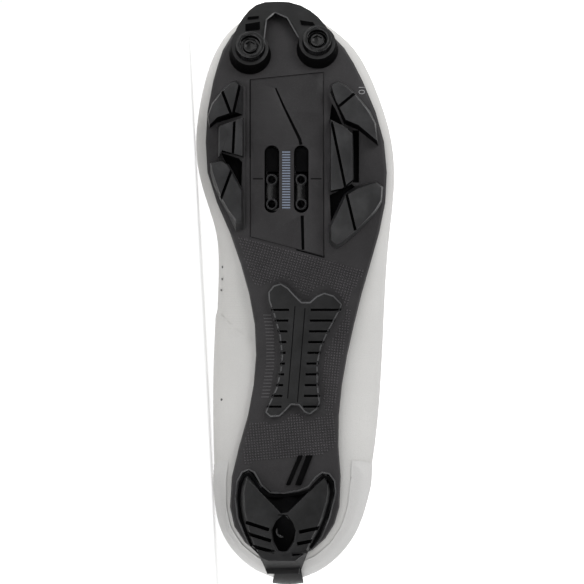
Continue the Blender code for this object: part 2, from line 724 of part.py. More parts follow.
def layer(ribs, low, high, group, grow=LAYER_GROW):
    """The space between two offsets of the plate's underside."""
    shares = (0.0, 0.35, 0.65, 0.85, 1.0)
    profile = [(share, low) for share in shares] + [(share, high) for share in reversed(shares)]
    return sheet("layer", ribs, profile, -grow, group)


def prism(name, rings, group):
    """A closed solid through rings with as many corners each, lowest first."""
    bm = bmesh.new()
    grid = [[bm.verts.new(point) for point in ring] for ring in rings]
    count = len(grid[0])
    for low, high in zip(grid, grid[1:]):
        for i in range(count):
            after = (i + 1) % count
            bm.faces.new((low[i], low[after], high[after], high[i]))
    bm.faces.new(list(reversed(grid[0])))
    bm.faces.new(grid[-1])
    bmesh.ops.recalc_face_normals(bm, faces=bm.faces)
    bmesh.ops.triangulate(bm, faces=[f for f in bm.faces if len(f.verts) > 4])
    return object_from_bmesh(name, bm, group)


def flat_prism(name, points, low, high, group, shrink=0.0):
    """An upright prism on a flat outline, its corners moved in by shrink."""
    corners = [at(point) for point in points]
    if shrink:
        corners = inset_corners(corners, shrink)
    rings = [[Vector((c.x, c.y, height)) for c in corners] for height in (low, high)]
    return prism(name, rings, group)


def inset_corners(corners, distance):
    """Corners moved square in from both their edges."""
    area = sum(a.x * b.y - b.x * a.y for a, b in zip(corners, corners[1:] + corners[:1]))
    sign = 1.0 if area > 0 else -1.0
    moved = []
    for i, corner in enumerate(corners):
        before = (corner - corners[i - 1]).normalized()
        after = (corners[(i + 1) % len(corners)] - corner).normalized()
        normal_a = Vector((-before.y, before.x)) * sign
        normal_b = Vector((-after.y, after.x)) * sign
        half = (normal_a + normal_b).normalized()
        moved.append(corner + half * distance / max(half.dot(normal_a), 0.5))
    return moved


def box(centre, size, turn, group):
    """A box with its centre, its size and its turn about Z."""
    bm = bmesh.new()
    matrix = Matrix.Translation(centre) @ Matrix.Rotation(turn, 4, "Z") @ Matrix.Diagonal((*size, 1))
    bmesh.ops.create_cube(bm, size=1.0, matrix=matrix)
    return object_from_bmesh("box", bm, group)


def cylinder(frame, radius, top_radius, depth, sides, group):
    """A round bar that starts at a frame's origin and runs along its Z."""
    bm = bmesh.new()
    matrix = frame @ Matrix.Translation((0, 0, depth / 2))
    bmesh.ops.create_cone(
        bm, cap_ends=True, segments=sides, radius1=radius, radius2=top_radius,
        depth=depth, matrix=matrix,
    )
    return object_from_bmesh("bar", bm, group)


def cut_groove(item, groove, top, width, group):
    """Cut a straight groove up into a tread."""
    a = at(Point(groove.along_a, groove.side_a))
    b = at(Point(groove.along_b, groove.side_b))
    middle = (a + b) / 2
    run = b - a
    bottom = -GROOVE_REACH
    tool = box(
        Vector((middle.x, middle.y, (top + bottom) / 2)),
        (run.length, width, top - bottom), math.atan2(run.y, run.x), group,
    )
    return combine(item, tool, "DIFFERENCE")


def plate_height(along):
    return read(PROFILES, "plate", along) * TOE_SPRING


def build_plate(group, tools, ribs):
    thick, edge = PLATE_THICK, PLATE_EDGE
    profile = (
        (0.0, 0.0), (0.35, 0.0), (0.65, 0.0), (0.85, 0.0), (0.97, 0.0), (1.0, edge),
        (1.0, thick - edge / 2), (0.985, thick), (0.85, thick), (0.65, thick), (0.35, thick),
        (0.0, thick),
    )
    item = sheet("sole_plate", ribs, profile, 0.0, group)
    pocket = flat_prism("pocket", PANEL, -TALL, TALL, tools)
    combine(pocket, layer(ribs, -PANEL_DEPTH, PANEL_DEPTH, tools), "INTERSECT")
    combine(item, pocket, "DIFFERENCE")
    for slot in slot_tools(tools):
        combine(item, slot, "DIFFERENCE")
    return tidy(item, "plate")


def slot_tools(tools):
    """Two long holes with round ends, for the cleat's screws."""
    made = []
    centre = at(SLOT_CENTRE)
    for side in (-1, 1):
        middle = Vector((centre.x + side * SLOT_SPACING / 2, centre.y))
        half = (SLOT_LENGTH - SLOT_WIDTH) / 2
        ring = []
        for i in range(16):
            turn = 2 * math.pi * (i + 0.5) / 16
            shift = half if math.sin(turn) > 0 else -half
            ring.append(middle + Vector((
                math.cos(turn) * SLOT_WIDTH / 2, math.sin(turn) * SLOT_WIDTH / 2 + shift,
            )))
        rings = [[Vector((c.x, c.y, height)) for c in ring] for height in (-TALL, TALL)]
        made.append(prism("slot", rings, tools))
    return made


def build_panel(group, tools, ribs):
    item = flat_prism("cleat_panel", PANEL, -TALL, TALL, group, shrink=GAP)
    combine(item, layer(ribs, 0.0, PANEL_DEPTH - GAP, tools), "INTERSECT")
    for slot in slot_tools(tools):
        combine(item, slot, "DIFFERENCE")
    return tidy(item, "panel")


def build_nut_plate(group, tools):
    """Plate inside the shoe with the four threaded bosses of the cleat screws."""
    centre = at(BOSS_CENTRE)
    reach_along = NUT_LENGTH / 2 / LENGTH
    spans = (centre.y / LENGTH + reach_along * share for share in (-1, 0, 1))
    low = max(plate_height(along) for along in spans) + PLATE_THICK + 2 * GAP
    foot = plate_height(BOSS_CENTRE.along) + BOSS_RECESS
    item = box(
        Vector((centre.x, centre.y, low + NUT_THICK / 2)), (NUT_WIDTH, NUT_LENGTH, NUT_THICK),
        0.0, group,
    )
    item.name = "cleat_nut_plate"
    spots = [
        Vector((centre.x + i * SLOT_SPACING / 2, centre.y + j * BOSS_ROW_SPACING / 2, 0.0))
        for i in (-1, 1) for j in (-1, 1)
    ]
    for spot in spots:
        frame = Matrix.Translation(spot + Vector((0, 0, foot)))
        boss = cylinder(frame, BOSS_RADIUS, BOSS_RADIUS, low - foot + NUT_THICK / 2, 16, tools)
        combine(item, boss, "UNION")
    for spot in spots:
        frame = Matrix.Translation(spot)
        bore = cylinder(frame, BOSS_BORE, BOSS_BORE, TALL, 12, tools)
        combine(item, bore, "DIFFERENCE")
    return tidy(item, "steel")


def lug(name, corners, group):
    """A tread lug from its two outlines, still reaching up through the plate."""
    middle = sum(c.foot_along for c in corners) / len(corners)
    foot_height = plate_height(middle) - GAP
    tread = [at(Point(c.tread_along, c.tread_side)) for c in corners]
    foot = [at(Point(c.foot_along, c.foot_side)) for c in corners]
    rings = [
        [Vector((c.x, c.y, 0.0)) for c in tread],
        [Vector((c.x, c.y, foot_height)) for c in foot],
        [Vector((c.x, c.y, foot_height + TALL / 3)) for c in foot],
    ]
    return prism(name, rings, group)


def build_lug(name, corners, group, tools, ribs):
    item = lug(name, corners, group)
    combine(item, layer(ribs, -TALL, -GAP, tools), "INTERSECT")
    for groove in LUG_GROOVES[name]:
        cut_groove(item, groove, GROOVE_DEPTH, GROOVE_WIDTH, tools)
    return tidy(item, "rubber")


def build_heel_lug(group, tools, ribs):
    item = lug("heel_lug", HEEL_LUG, group)
    combine(item, layer(ribs, -TALL, -GAP, tools), "INTERSECT")
    combine(item, flat_prism("drop", HEEL_DROP, -TALL, HEEL_RECESS_DEPTH, tools), "DIFFERENCE")
    for groove in LUG_GROOVES["heel_lug"]:
        cut_groove(item, groove, GROOVE_DEPTH, GROOVE_WIDTH * 1.3, tools)
    return tidy(item, "rubber")


def build_heel_screw(group, tools):
    spot = at(HEEL_SCREW)
    top = HEEL_RECESS_DEPTH - GAP
    frame = Matrix.Translation((spot.x, spot.y, top - HEEL_SCREW_HEAD))
    item = cylinder(frame, HEEL_SCREW_RADIUS * 0.85, HEEL_SCREW_RADIUS, HEEL_SCREW_HEAD, 20, group)
    item.name = "heel_screw"
    key = Matrix.Translation((spot.x, spot.y, top - HEEL_SCREW_HEAD * 1.4))
    combine(item, cylinder(key, KEY_RADIUS * 0.8, KEY_RADIUS * 0.8, HEEL_SCREW_HEAD, 6, tools), "DIFFERENCE")
    return tidy(item, "steel")


def toe_frame(point):
    """A frame on the plate's underside near the toe, its Z pointing down and out."""
    rise = plate_height(point.along + 0.03) - plate_height(point.along - 0.03)
    slope = math.atan2(rise, 0.06 * LENGTH)
    spot = at(point)
    origin = Vector((spot.x, spot.y, plate_height(point.along) + CAMBER / 3))
    return Matrix.Translation(origin) @ Matrix.Rotation(math.pi + slope, 4, "X")


def build_toe_lug(group, tools, ribs):
    item = flat_prism("toe_lug", TOE_LUG, -TALL, 2 * TALL, group)
    combine(item, layer(ribs, -GAP - TOE_LUG_THICK, -GAP, tools, grow=TOE_LAYER_GROW), "INTERSECT")
    for point in SOCKETS:
        frame = toe_frame(point) @ Matrix.Translation((0, 0, -SOCKET_SINK))
        depth = SOCKET_HEIGHT + SOCKET_SINK
        socket = cylinder(frame, SOCKET_RADIUS * 1.04, SOCKET_RADIUS * 0.86, depth, 28, tools)
        combine(socket, layer(ribs, -TALL, -GAP - SOCKET_LIFT, tools), "INTERSECT")
        combine(item, socket, "UNION")
    return tidy(item, "rubber")


def build_stud(name, point, group, tools):
    """A toe stud: a ring with a keyed screw head inside it."""
    base = toe_frame(point) @ Matrix.Translation((0, 0, SOCKET_HEIGHT + GAP))
    item = cylinder(base, STUD_RADIUS, STUD_RADIUS * 0.93, STUD_HEIGHT, 28, group)
    item.name = name
    hollow = base @ Matrix.Translation((0, 0, STUD_HEIGHT - STUD_RECESS))
    combine(item, cylinder(hollow, STUD_BORE * 0.94, STUD_BORE, STUD_RECESS * 2, 28, tools), "DIFFERENCE")
    head = base @ Matrix.Translation((0, 0, STUD_HEIGHT - STUD_RECESS - GAP))
    combine(item, cylinder(head, STUD_BORE * 0.72, STUD_BORE * 0.62, STUD_RECESS * 0.6, 20, tools), "UNION")
    key = base @ Matrix.Translation((0, 0, STUD_HEIGHT - STUD_RECESS * 0.4 - KEY_DEPTH))
    combine(item, cylinder(key, KEY_RADIUS, KEY_RADIUS, STUD_RECESS * 2, 6, tools), "DIFFERENCE")
    return tidy(item, "rubber")


def build_arch_pad(group, tools, ribs):
    item = flat_prism("arch_pad", ARCH_PAD, -TALL, 2 * TALL, group)
    combine(item, layer(ribs, -GAP - ARCH_PAD_THICK, -GAP, tools), "INTERSECT")
    first, last = at(ARCH_SPINE[0]), at(ARCH_SPINE[1])
    grooves = None
    for i in range(ARCH_GROOVES):
        y = first.y - ARCH_GROOVE_PITCH * i
        spine = first.x + (last.x - first.x) * (first.y - y) / (first.y - last.y)
        top = plate_height(y / LENGTH) - GAP - ARCH_PAD_THICK + ARCH_GROOVE_DEPTH
        for side in (-1, 1):
            length = BALL_WIDTH / 2
            centre = Vector((spine + side * (ARCH_SPINE_HALF + length / 2), y, (top - TALL) / 2))
            tool = box(centre, (length, ARCH_GROOVE_WIDTH, top + TALL), 0.0, tools)
            grooves = combine(grooves, tool, "UNION") if grooves else tool
    combine(item, grooves, "DIFFERENCE")
    return tidy(item, "rubber")


def build_heel_bars(group, tools, ribs):
    made = []
    for number, points in enumerate(HEEL_BARS, 1):
        item = flat_prism("heel_bar_%d" % number, points, -TALL, 2 * TALL, group)
        combine(item, layer(ribs, -GAP - BAR_THICK, -GAP, tools), "INTERSECT")
        made.append(tidy(item, "rubber"))
    return made


def build_insole(group, ribs):
    low = PLATE_THICK + WALL + 4 * GAP
    high = low + INSOLE_THICK
    shares = (0.0, 0.45, 0.80, 1.0)
    profile = [(share, low) for share in shares] + [(share, high) for share in reversed(shares)]
    item = sheet("insole", ribs, profile, INSOLE_INSET, group)
    return tidy(item, "insole")


def skin_frame(along, side, distance, rise):
    """A frame on the upper: Z square out of it, Y towards the toe."""
    angle = 0 if side > 0 else 180
    def point(share, shift):
        rib = Rib(share, angle)
        return rib.wall(rib.turn_at_distance(distance + shift))

    centre = point(along, 0.0)
    forward = (point(along + PROBE_SHARE, 0.0) - point(along - PROBE_SHARE, 0.0)).normalized()
    across = (point(along, PROBE) - point(along, -PROBE)).normalized()
    normal = forward.cross(across).normalized()
    if normal.z < 0:
        normal = -normal
    x_axis = forward.cross(normal).normalized()
    frame = Matrix((
        (x_axis.x, forward.x, normal.x, 0.0), (x_axis.y, forward.y, normal.y, 0.0),
        (x_axis.z, forward.z, normal.z, 0.0), (0.0, 0.0, 0.0, 1.0),
    ))
    return Matrix.Translation(centre + normal * rise) @ frame


def build_dial(group, tools, ribs):
    frame = skin_frame(DIAL_ALONG, -1, DIAL_OFFSET, GAP)
    base = cylinder(
        frame @ Matrix.Translation((0, 0, -DIAL_SINK)), DIAL_BASE_RADIUS * 1.05, DIAL_BASE_RADIUS,
        DIAL_SINK + DIAL_BASE_HEIGHT, 32, group,
    )
    base.name = "dial_base"
    combine(base, upper_form("form", ribs, SKIN_CLEAR, tools), "DIFFERENCE")
    tidy(base, "dial")
    bm = bmesh.new()
    rings = []
    steps = DIAL_GRIPS * 2
    low = DIAL_BASE_HEIGHT + GAP
    for height, scale in ((0.0, 0.97), (KNOB_CHAMFER, 1.0), (DIAL_HEIGHT * 0.72, 0.96), (DIAL_HEIGHT, 0.84)):
        ring = []
        for i in range(steps):
            turn = 2 * math.pi * i / steps
            radius = DIAL_RADIUS * scale - (DIAL_GRIP_DEPTH if i % 2 else 0.0)
            ring.append(bm.verts.new(frame @ Vector((
                radius * math.cos(turn), radius * math.sin(turn), low + height,
            ))))
        rings.append(ring)
    for lower, higher in zip(rings, rings[1:]):
        for i in range(steps):
            after = (i + 1) % steps
            bm.faces.new((lower[i], lower[after], higher[after], higher[i]))
    bm.faces.new(list(reversed(rings[0])))
    bm.faces.new(rings[-1])
    bmesh.ops.recalc_face_normals(bm, faces=bm.faces)
    knob = object_from_bmesh("dial_knob", bm, group, "dial")
    return [base, knob]


def guide_frame(along, side):
    distance = read(THROAT, "half", along) * BALL_WIDTH + GUIDE_INSET
    return skin_frame(along, side, distance, SKIN_CLEAR)


def build_guide(name, along, side, group, tools):
    """A lace guide: a narrow core between two flanges, for the wire to run round."""
    frame = guide_frame(along, side)

    def slab(low, high, inset):
        length, width = GUIDE_LENGTH - 2 * inset, GUIDE_WIDTH - 2 * inset
        ring = []
        for i in range(12):
            turn = 2 * math.pi * (i + 0.5) / 12
            shift = (length - width) / 2 * (1 if math.sin(turn) > 0 else -1)
            ring.append((width / 2 * math.cos(turn), width / 2 * math.sin(turn) + shift))
        rings = [[frame @ Vector((x, y, height)) for x, y in ring] for height in (low, high)]
        return prism("slab", rings, tools)

    total = 2 * GUIDE_FLANGE + GUIDE_CORE
    item = slab(0.0, GUIDE_FLANGE, 0.0)
    combine(item, slab(GUIDE_FLANGE / 2, total - GUIDE_FLANGE / 2, GUIDE_UNDERCUT), "UNION")
    combine(item, slab(total - GUIDE_FLANGE, total, 0.0), "UNION")
    item.name = name
    tools.objects.unlink(item)
    group.objects.link(item)
    return tidy(item, "dial")


def wire_span(start, end, high):
    """Points of the wire over the throat, between two places given as along and side."""
    low = WIRE_RADIUS + WIRE_LIFT - WALL - TONGUE_CLEAR
    points = []
    for step in range(1, 8):
        share = step / 8
        along = start[0] + (end[0] - start[0]) * share
        side = start[1] + (end[1] - start[1]) * share
        half = read(THROAT, "half", along) * BALL_WIDTH
        sink = max(0.0, min((half - abs(side)) / (half * WIRE_SINK_SHARE), 1.0))
        rise = high + (low - high) * sink * sink * (3 - 2 * sink)
        frame = skin_frame(along, 1 if side > 0 else -1, max(abs(side), WIRE_MIDDLE), rise)
        points.append(frame.translation)
    return points


def build_wire(group):
    """The lace wire: from the dial to and fro over the throat, round each guide."""
    level = GUIDE_FLANGE + GUIDE_CORE / 2
    swing = GUIDE_WIDTH / 2 - GUIDE_UNDERCUT + WIRE_RADIUS + GAP
    half = (GUIDE_LENGTH - GUIDE_WIDTH) / 2
    end = (half + swing) / LENGTH
    dial = skin_frame(DIAL_ALONG, -1, DIAL_OFFSET, GAP)
    points = [dial @ Vector((DIAL_BASE_RADIUS + WIRE_RADIUS + 2 * GAP, DIAL_BASE_RADIUS / 3, level))]
    leave = (DIAL_ALONG + DIAL_BASE_RADIUS / 3 / LENGTH, WIRE_START_SIDE - DIAL_OFFSET)
    for along in GUIDE_ALONGS:
        for side in (1, -1):
            frame = guide_frame(along, side)
            inner = side * (read(THROAT, "half", along) * BALL_WIDTH + GUIDE_INSET - GUIDE_WIDTH / 2)
            points += wire_span(leave, (along - end, inner), SKIN_CLEAR + level)
            outward = swing if (frame.to_3x3() @ Vector((1, 0, 0))).x * side > 0 else -swing
            arc = [math.radians(turn) for turn in (90, 60, 30, 0)]
            points += [frame @ Vector((
                outward * math.cos(turn), -half - swing * math.sin(turn), level,
            )) for turn in arc]
            points += [frame @ Vector((
                outward * math.cos(turn), half + swing * math.sin(turn), level,
            )) for turn in reversed(arc)]
            leave = (along + end, inner)
    curve = bpy.data.curves.new("lace_wire", "CURVE")
    curve.dimensions = "3D"
    curve.bevel_depth = WIRE_RADIUS
    curve.bevel_resolution = 0
    curve.use_fill_caps = True
    spline = curve.splines.new("POLY")
    spline.points.add(len(points) - 1)
    for target, point in zip(spline.points, points):
        target.co = (*point, 1.0)
    rail = bpy.data.objects.new("rail", curve)
    group.objects.link(rail)
    bpy.context.view_layer.update()
    depsgraph = bpy.context.evaluated_depsgraph_get()
    mesh = bpy.data.meshes.new_from_object(rail.evaluated_get(depsgraph))
    bpy.data.objects.remove(rail, do_unlink=True)
    item = bpy.data.objects.new("lace_wire", mesh)
    group.objects.link(item)
    return tidy(item, "wire")


def lay_down(pieces):
    """The turn and shift that lay the shoe on its medial side, on Z = 0."""
    bm = bmesh.new()
    mass, centre = 0.0, Vector()
    for piece in pieces:
        for vert in piece.data.vertices:
            bm.verts.new(vert.co)
        for face in piece.data.polygons:
            centre += face.center * face.area
            mass += face.area
    centre /= mass
    hull = bmesh.ops.convex_hull(bm, input=bm.verts)
    faces = [f for f in hull["geom"] if isinstance(f, bmesh.types.BMFace) and f.is_valid]
    medial = [f for f in faces if f.normal.x > 0.5]
    best, depth = None, None
    for face in medial:
        drop = (face.calc_center_median() - centre).dot(face.normal)
        foot = centre + face.normal * drop
        inside = min_side(face, foot)
        if best is None or inside > depth:
            best, depth = face.normal.copy(), inside
    bm.free()
    down = best.normalized()
    toe = Vector((0, 1, 0)) - down * down.y
    toe.normalize()
    sole = toe.cross(down)
    turn = Matrix((
        (-toe.x, -toe.y, -toe.z, 0.0), (-sole.x, -sole.y, -sole.z, 0.0),
        (-down.x, -down.y, -down.z, 0.0), (0.0, 0.0, 0.0, 1.0),
    ))
    if turn.determinant() < 0:
        turn[1] = -turn[1]
    corners = [turn @ vert.co for piece in pieces for vert in piece.data.vertices]
    low = Vector([min(c[i] for c in corners) for i in range(3)])
    high = Vector([max(c[i] for c in corners) for i in range(3)])
    shift = Vector((-(low.x + high.x) / 2, -(low.y + high.y) / 2, -low.z))
    return Matrix.Translation(shift) @ turn


def min_side(face, foot):
    """How far inside a face a point of its plane lies: negative outside."""
    verts = [v.co for v in face.verts]
    return min(
        (b - a).normalized().cross(face.normal).dot(a - foot)
        for a, b in zip(verts, verts[1:] + verts[:1])
    )


def main():
    clear_scene()
    group = new_collection("cycling_shoe")
    tools = new_collection("cutters")
    ribs = all_ribs()
    build_upper(group, ribs)
    build_plate(group, tools, ribs)
    build_panel(group, tools, ribs)
    build_nut_plate(group, tools)
    build_insole(group, ribs)
    build_tongue(group)
    build_counter(group, tools, ribs)
    build_heel_strip(group, ribs)
    build_bumper(group)
    build_toe_lug(group, tools, ribs)
    for name, point in zip(("toe_stud_medial", "toe_stud_lateral"), SOCKETS):
        build_stud(name, point, group, tools)
    lugs = {
        "medial_front_lug": MEDIAL_FRONT, "medial_middle_lug": MEDIAL_MIDDLE,
        "medial_rear_lug": MEDIAL_REAR, "lateral_front_lug": LATERAL_FRONT,
        "lateral_middle_lug": LATERAL_MIDDLE, "lateral_rear_lug": LATERAL_REAR,
    }
    for name, corners in lugs.items():
        build_lug(name, corners, group, tools, ribs)
    build_arch_pad(group, tools, ribs)
    build_heel_lug(group, tools, ribs)
    build_heel_screw(group, tools)
    build_heel_bars(group, tools, ribs)
    build_dial(group, tools, ribs)
    for number, along in enumerate(GUIDE_ALONGS, 1):
        build_guide("lace_guide_medial_%d" % number, along, 1, group, tools)
        build_guide("lace_guide_lateral_%d" % number, along, -1, group, tools)
    build_wire(group)
    pieces = list(group.objects)
    frame = bpy.data.objects.new("shoe_frame", None)
    group.objects.link(frame)
    frame.matrix_world = lay_down(pieces)
    bpy.context.view_layer.update()
    for piece in pieces:
        piece.parent = frame


main()
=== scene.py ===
"""Finishes for a left off-road cycling shoe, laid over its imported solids.

The shoe lies on its medial side. Its pieces are worked on in the shoe's own frame,
X to the medial side, Y from the heel to the toe, Z up from the tread, and then laid down.
"""
import math

import bmesh
import bpy
from mathutils import Matrix, Vector
from mathutils.bvhtree import BVHTree
from mathutils.geometry import intersect_point_tri_2d, tessellate_polygon
from mathutils.kdtree import KDTree


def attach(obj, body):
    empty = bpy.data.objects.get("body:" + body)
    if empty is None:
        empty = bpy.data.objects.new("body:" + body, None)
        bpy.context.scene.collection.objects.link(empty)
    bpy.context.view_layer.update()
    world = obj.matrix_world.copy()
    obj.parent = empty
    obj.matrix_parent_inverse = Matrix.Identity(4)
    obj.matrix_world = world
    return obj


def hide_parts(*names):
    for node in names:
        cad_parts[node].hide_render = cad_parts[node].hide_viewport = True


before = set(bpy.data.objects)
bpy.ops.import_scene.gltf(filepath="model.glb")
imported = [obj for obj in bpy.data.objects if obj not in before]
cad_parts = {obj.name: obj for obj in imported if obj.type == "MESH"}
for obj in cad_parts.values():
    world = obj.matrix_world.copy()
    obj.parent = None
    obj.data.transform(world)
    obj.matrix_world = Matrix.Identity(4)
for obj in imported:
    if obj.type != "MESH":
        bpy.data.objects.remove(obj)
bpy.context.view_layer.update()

bl_info = {
    "name": "Off-road cycling shoe finishes",
    "version": (1, 0, 0),
    "blender": (4, 5, 0),
    "location": "3D Viewport > Sidebar > Shoe",
    "description": "Dresses the solids of a left off-road cycling shoe and lights it",
    "category": "Object",
}

# How the shoe lies: turned a little on the floor, its sole upright
YAW = math.radians(2.8896)
HEEL_POINT = Vector((0.1416450, -0.0612600, 0.0370898))
LAY = Matrix.Translation(HEEL_POINT) @ Matrix((
    (-math.sin(YAW), -math.cos(YAW), 0.0, 0.0),
    (0.0, 0.0, 1.0, 0.0),
    (-math.cos(YAW), math.sin(YAW), 0.0, 0.0),
    (0.0, 0.0, 0.0, 1.0),
))
STAND = LAY.inverted()
MERGE = 1e-5
MM = 0.001

# Marks on a moulded piece's faces, and the ring of places looked at round each face
TREAD, EDGE, SHADE = 0, 1, 2
AROUND = tuple(
    Vector((math.cos(math.tau * i / 8), math.sin(math.tau * i / 8), 0.0)) * 0.0013 for i in range(8)
)

# The sole's drawing: 0.49 mm to a unit, measured from its top left corner, toe up
UNIT = 0.00049
DRAWING_CENTRE = 293
DRAWING_HEEL = 582
DRAWING_SIZE = 584
DRAWING_PLANE = 0.025
PAPER_GLOW = 0.28

RUBBER_NODES = (
    "medial_front_lug", "medial_middle_lug", "medial_rear_lug",
    "lateral_front_lug", "lateral_middle_lug", "lateral_rear_lug",
    "arch_pad", "heel_lug",
)
GUIDE_NODES = tuple(f"lace_guide_{side}_{i}" for side in ("medial", "lateral") for i in (1, 2, 3))

# Each groove: its path, its width at both ends and its depth, in drawing units and metres
PANEL_GROOVES = (
    (((275.7, 88.8), (283.7, 107.0), (299.8, 140.0), (301.0, 145.4)), (1.6, 3.2), 0.0009),
    (((303.0, 250.0), (302.2, 215.8)), (2.8, 3.2), 0.0010),
    (((253.0, 179.3), (263.2, 179.3)), (1.0, 1.0), 0.0004),
    (((310.6, 179.3), (321.5, 179.3)), (1.0, 1.0), 0.0004),
)
PLATE_GROOVES = (
    (((246.0, 88.0), (245.6, 180.0), (245.8, 228.0)), (0.8, 0.8), 0.0003),
)
PLATE_POCKETS = (
    ((221.6, 153.5), (239.0, 159.0), (242.4, 162.6), (241.4, 192.0), (226.5, 164.0)),
    ((331.7, 104.0), (335.5, 110.0), (342.0, 125.0), (329.0, 124.0)),
    ((352.5, 131.0), (358.8, 131.0), (358.8, 183.0), (352.5, 183.0)),
    ((329.6, 195.6), (351.4, 184.4), (356.0, 188.6), (345.8, 195.0), (331.0, 226.0)),
)
POCKET_DEPTH = 0.0022
WING_THICK = 0.0040
# Channels of painted shade and raised lines in lighter rubber, a painted highlight, round the heel lug and
# down the arch pad
HEEL_RIMS = (
    ((257.5, 553.0), (250.5, 545.5), (244.0, 533.0), (237.6, 517.0), (235.4, 497.0), (237.2, 480.5),
     (242.2, 471.4), (248.8, 468.6), (254.6, 471.4), (261.5, 484.0), (270.0, 491.6), (284.0, 492.4),
     (299.0, 489.6), (308.0, 486.0), (315.5, 476.5), (322.0, 471.6), (329.0, 473.0), (334.4, 480.0),
     (335.6, 492.0), (329.4, 517.0), (322.0, 535.6), (311.5, 551.5)),
)
HEEL_CHANNELS = (
    ((253.0, 547.0), (246.6, 533.0), (240.4, 516.0), (238.6, 497.0), (240.2, 482.5), (244.0, 475.0),
     (248.8, 472.6), (253.0, 476.0), (259.5, 487.0), (268.6, 494.6), (284.0, 495.4), (299.0, 492.6),
     (309.6, 488.8), (317.5, 479.8), (322.6, 475.4), (327.6, 476.4), (331.2, 482.0), (332.2, 492.0),
     (326.0, 516.0), (318.6, 534.6), (310.5, 547.0)),
)
# Painted shade: the heel lug's faces inside this outline take the shaded rubber
HEEL_HOLLOW = (
    (258.0, 488.0), (272.0, 495.0), (285.0, 495.4), (299.0, 492.6), (310.0, 488.0), (297.0, 510.0),
    (289.5, 518.0), (282.0, 522.0), (274.5, 517.0),
)
# Painted shade: the outline of a dark block in the screw's hollow
SCREW_HOLLOW = (
    (281.5, 509.0), (287.5, 514.0), (293.0, 521.5), (295.7, 529.5), (293.0, 540.0), (287.5, 548.5),
    (282.6, 553.0), (278.5, 548.5), (274.0, 539.5), (272.7, 529.5), (274.6, 521.0), (278.0, 513.5),
)
# Painted shade: dark blocks at the ends of the cleat slots
SLOT_ENDS = (
    ((266.0, 149.0), (278.5, 149.0), (278.5, 172.0), (266.0, 172.0)),
    ((295.0, 149.0), (308.0, 149.0), (308.0, 172.0), (295.0, 172.0)),
)
# Painted shade: a black strip along the panel's outline
PANEL_EDGE = (
    ((250.3, 80.8), (323.7, 73.0), (323.9, 257.5), (250.3, 237.4), (250.3, 80.8)),
)
TOE_ARCH = (
    ((265.4, 46.0), (264.2, 40.0), (266.4, 20.0), (275.0, 12.6), (287.2, 18.0), (298.6, 38.0)),
)
BUMPER_TRIM = (
    (215.0, 60.0), (215.0, -15.0), (252.0, -15.0), (252.0, 7.8), (249.0, 10.6), (243.8, 17.0),
    (239.6, 24.0), (236.2, 31.0), (230.0, 44.0), (224.0, 60.0),
)
# The toe lug's outer wings, and its ledges, which take painted shade as dark blocks
TOE_WINGS = (
    (((233.8, 38.0), (236.2, 31.0), (239.6, 24.0), (243.9, 17.4), (249.4, 11.2), (257.0, 6.6)),
     ((246.0, 38.0), (250.0, 33.0), (254.0, 28.0), (258.0, 23.0), (262.0, 18.0), (266.0, 14.0))),
    (((330.0, 33.0), (324.4, 24.4), (318.4, 17.4), (310.4, 11.2), (301.0, 6.4)),
     ((318.0, 33.0), (312.0, 27.0), (306.0, 22.0), (300.0, 18.0), (294.0, 14.0))),
)
TOE_LEDGES = (
    ((245.5, 24.6), (260.0, 22.2), (260.0, 29.6), (245.5, 31.4)),
    ((248.0, 17.2), (259.0, 16.2), (258.6, 18.6), (247.4, 19.8)),
    ((300.0, 20.6), (313.0, 22.6), (315.0, 25.8), (301.6, 25.0)),
)
PAD_RIM_INSET = 1.6 * UNIT
HEEL_NECK_PATH = ((283.2, 550.0), (283.6, 573.0))
HEEL_NECK_WIDTHS = (0.0245, 0.0160)
NECK_LINES = (
    ((258.6, 552.0), (261.5, 559.0), (267.6, 568.0), (268.6, 573.0)),
    ((306.8, 552.0), (303.6, 559.0), (299.4, 568.0), (299.0, 573.0)),
    ((262.5, 561.0), (302.5, 560.0)),
)
# Painted shade along the two edges of the arch pad's spine
SPINE_LINES = (
    ((295.0, 306.0), (291.6, 350.0), (287.6, 398.0)),
    ((305.0, 308.0), (301.6, 350.0), (297.4, 402.0)),
)
SCALE_TOP = (286.2, 152.6)
SCALE_PITCH = 2.64
SCALE_BARS = 22
TICK_ROWS = 26
TICK_COLUMNS = (258.0, 315.5)
# Each zone of dots: how its rows slope, and its outline
DOT_ZONES = (
    (0.27, ((238, 236), (252, 240), (326, 261), (364, 271), (352, 292), (347, 306), (341, 298),
            (334, 289), (325, 285), (316, 288), (309, 295), (303, 295), (293, 283), (286, 276.5),
            (266, 284), (255, 286), (246, 262))),
    (0.10, ((346.5, 308), (343, 320), (334, 336), (326, 352), (322.5, 366), (323, 392), (325, 412),
            (333, 410), (338, 390), (340, 370), (343, 350), (348, 330), (352, 308))),
    (-0.09, ((250, 424), (262, 420), (272, 423.5), (281, 422.5), (289, 415), (300, 413), (305, 421),
             (318, 417), (334, 411), (335, 447), (318, 455), (296, 456), (262, 460), (243, 464),
             (245, 440))),
)
RIB_EDGE = ((315, 272.5), (328, 277.0), (351, 279.0), (366, 278.0), (388, 271.5), (398, 268.0))
RIB_START = 262.0
RIB_PITCH = 3.4
PERFORATIONS = (
    (222.7, 267.0), (222.4, 279.0), (221.5, 290.0), (221.4, 338.0), (223.0, 342.5), (221.8, 354.0),
    (224.6, 359.0), (222.4, 370.6), (221.4, 383.0), (223.0, 387.6), (221.8, 399.6),
)
OVERLAY_EDGE = ((214.0, 309.0), (218.0, 314.0), (232.0, 328.0), (243.0, 337.0), (256.0, 343.0))
OVERLAY_STEP = 0.0008
# The size number, turned sideways: its strokes in drawing units
SIZE_STROKES = (
    ((358.6, 88.0), (364.4, 88.0)),
    ((359.3, 91.2), (358.6, 92.6), (359.3, 94.0), (361.5, 94.5), (363.7, 94.0), (364.4, 92.6),
     (363.7, 91.2), (361.5, 90.7), (359.3, 91.2)),
)


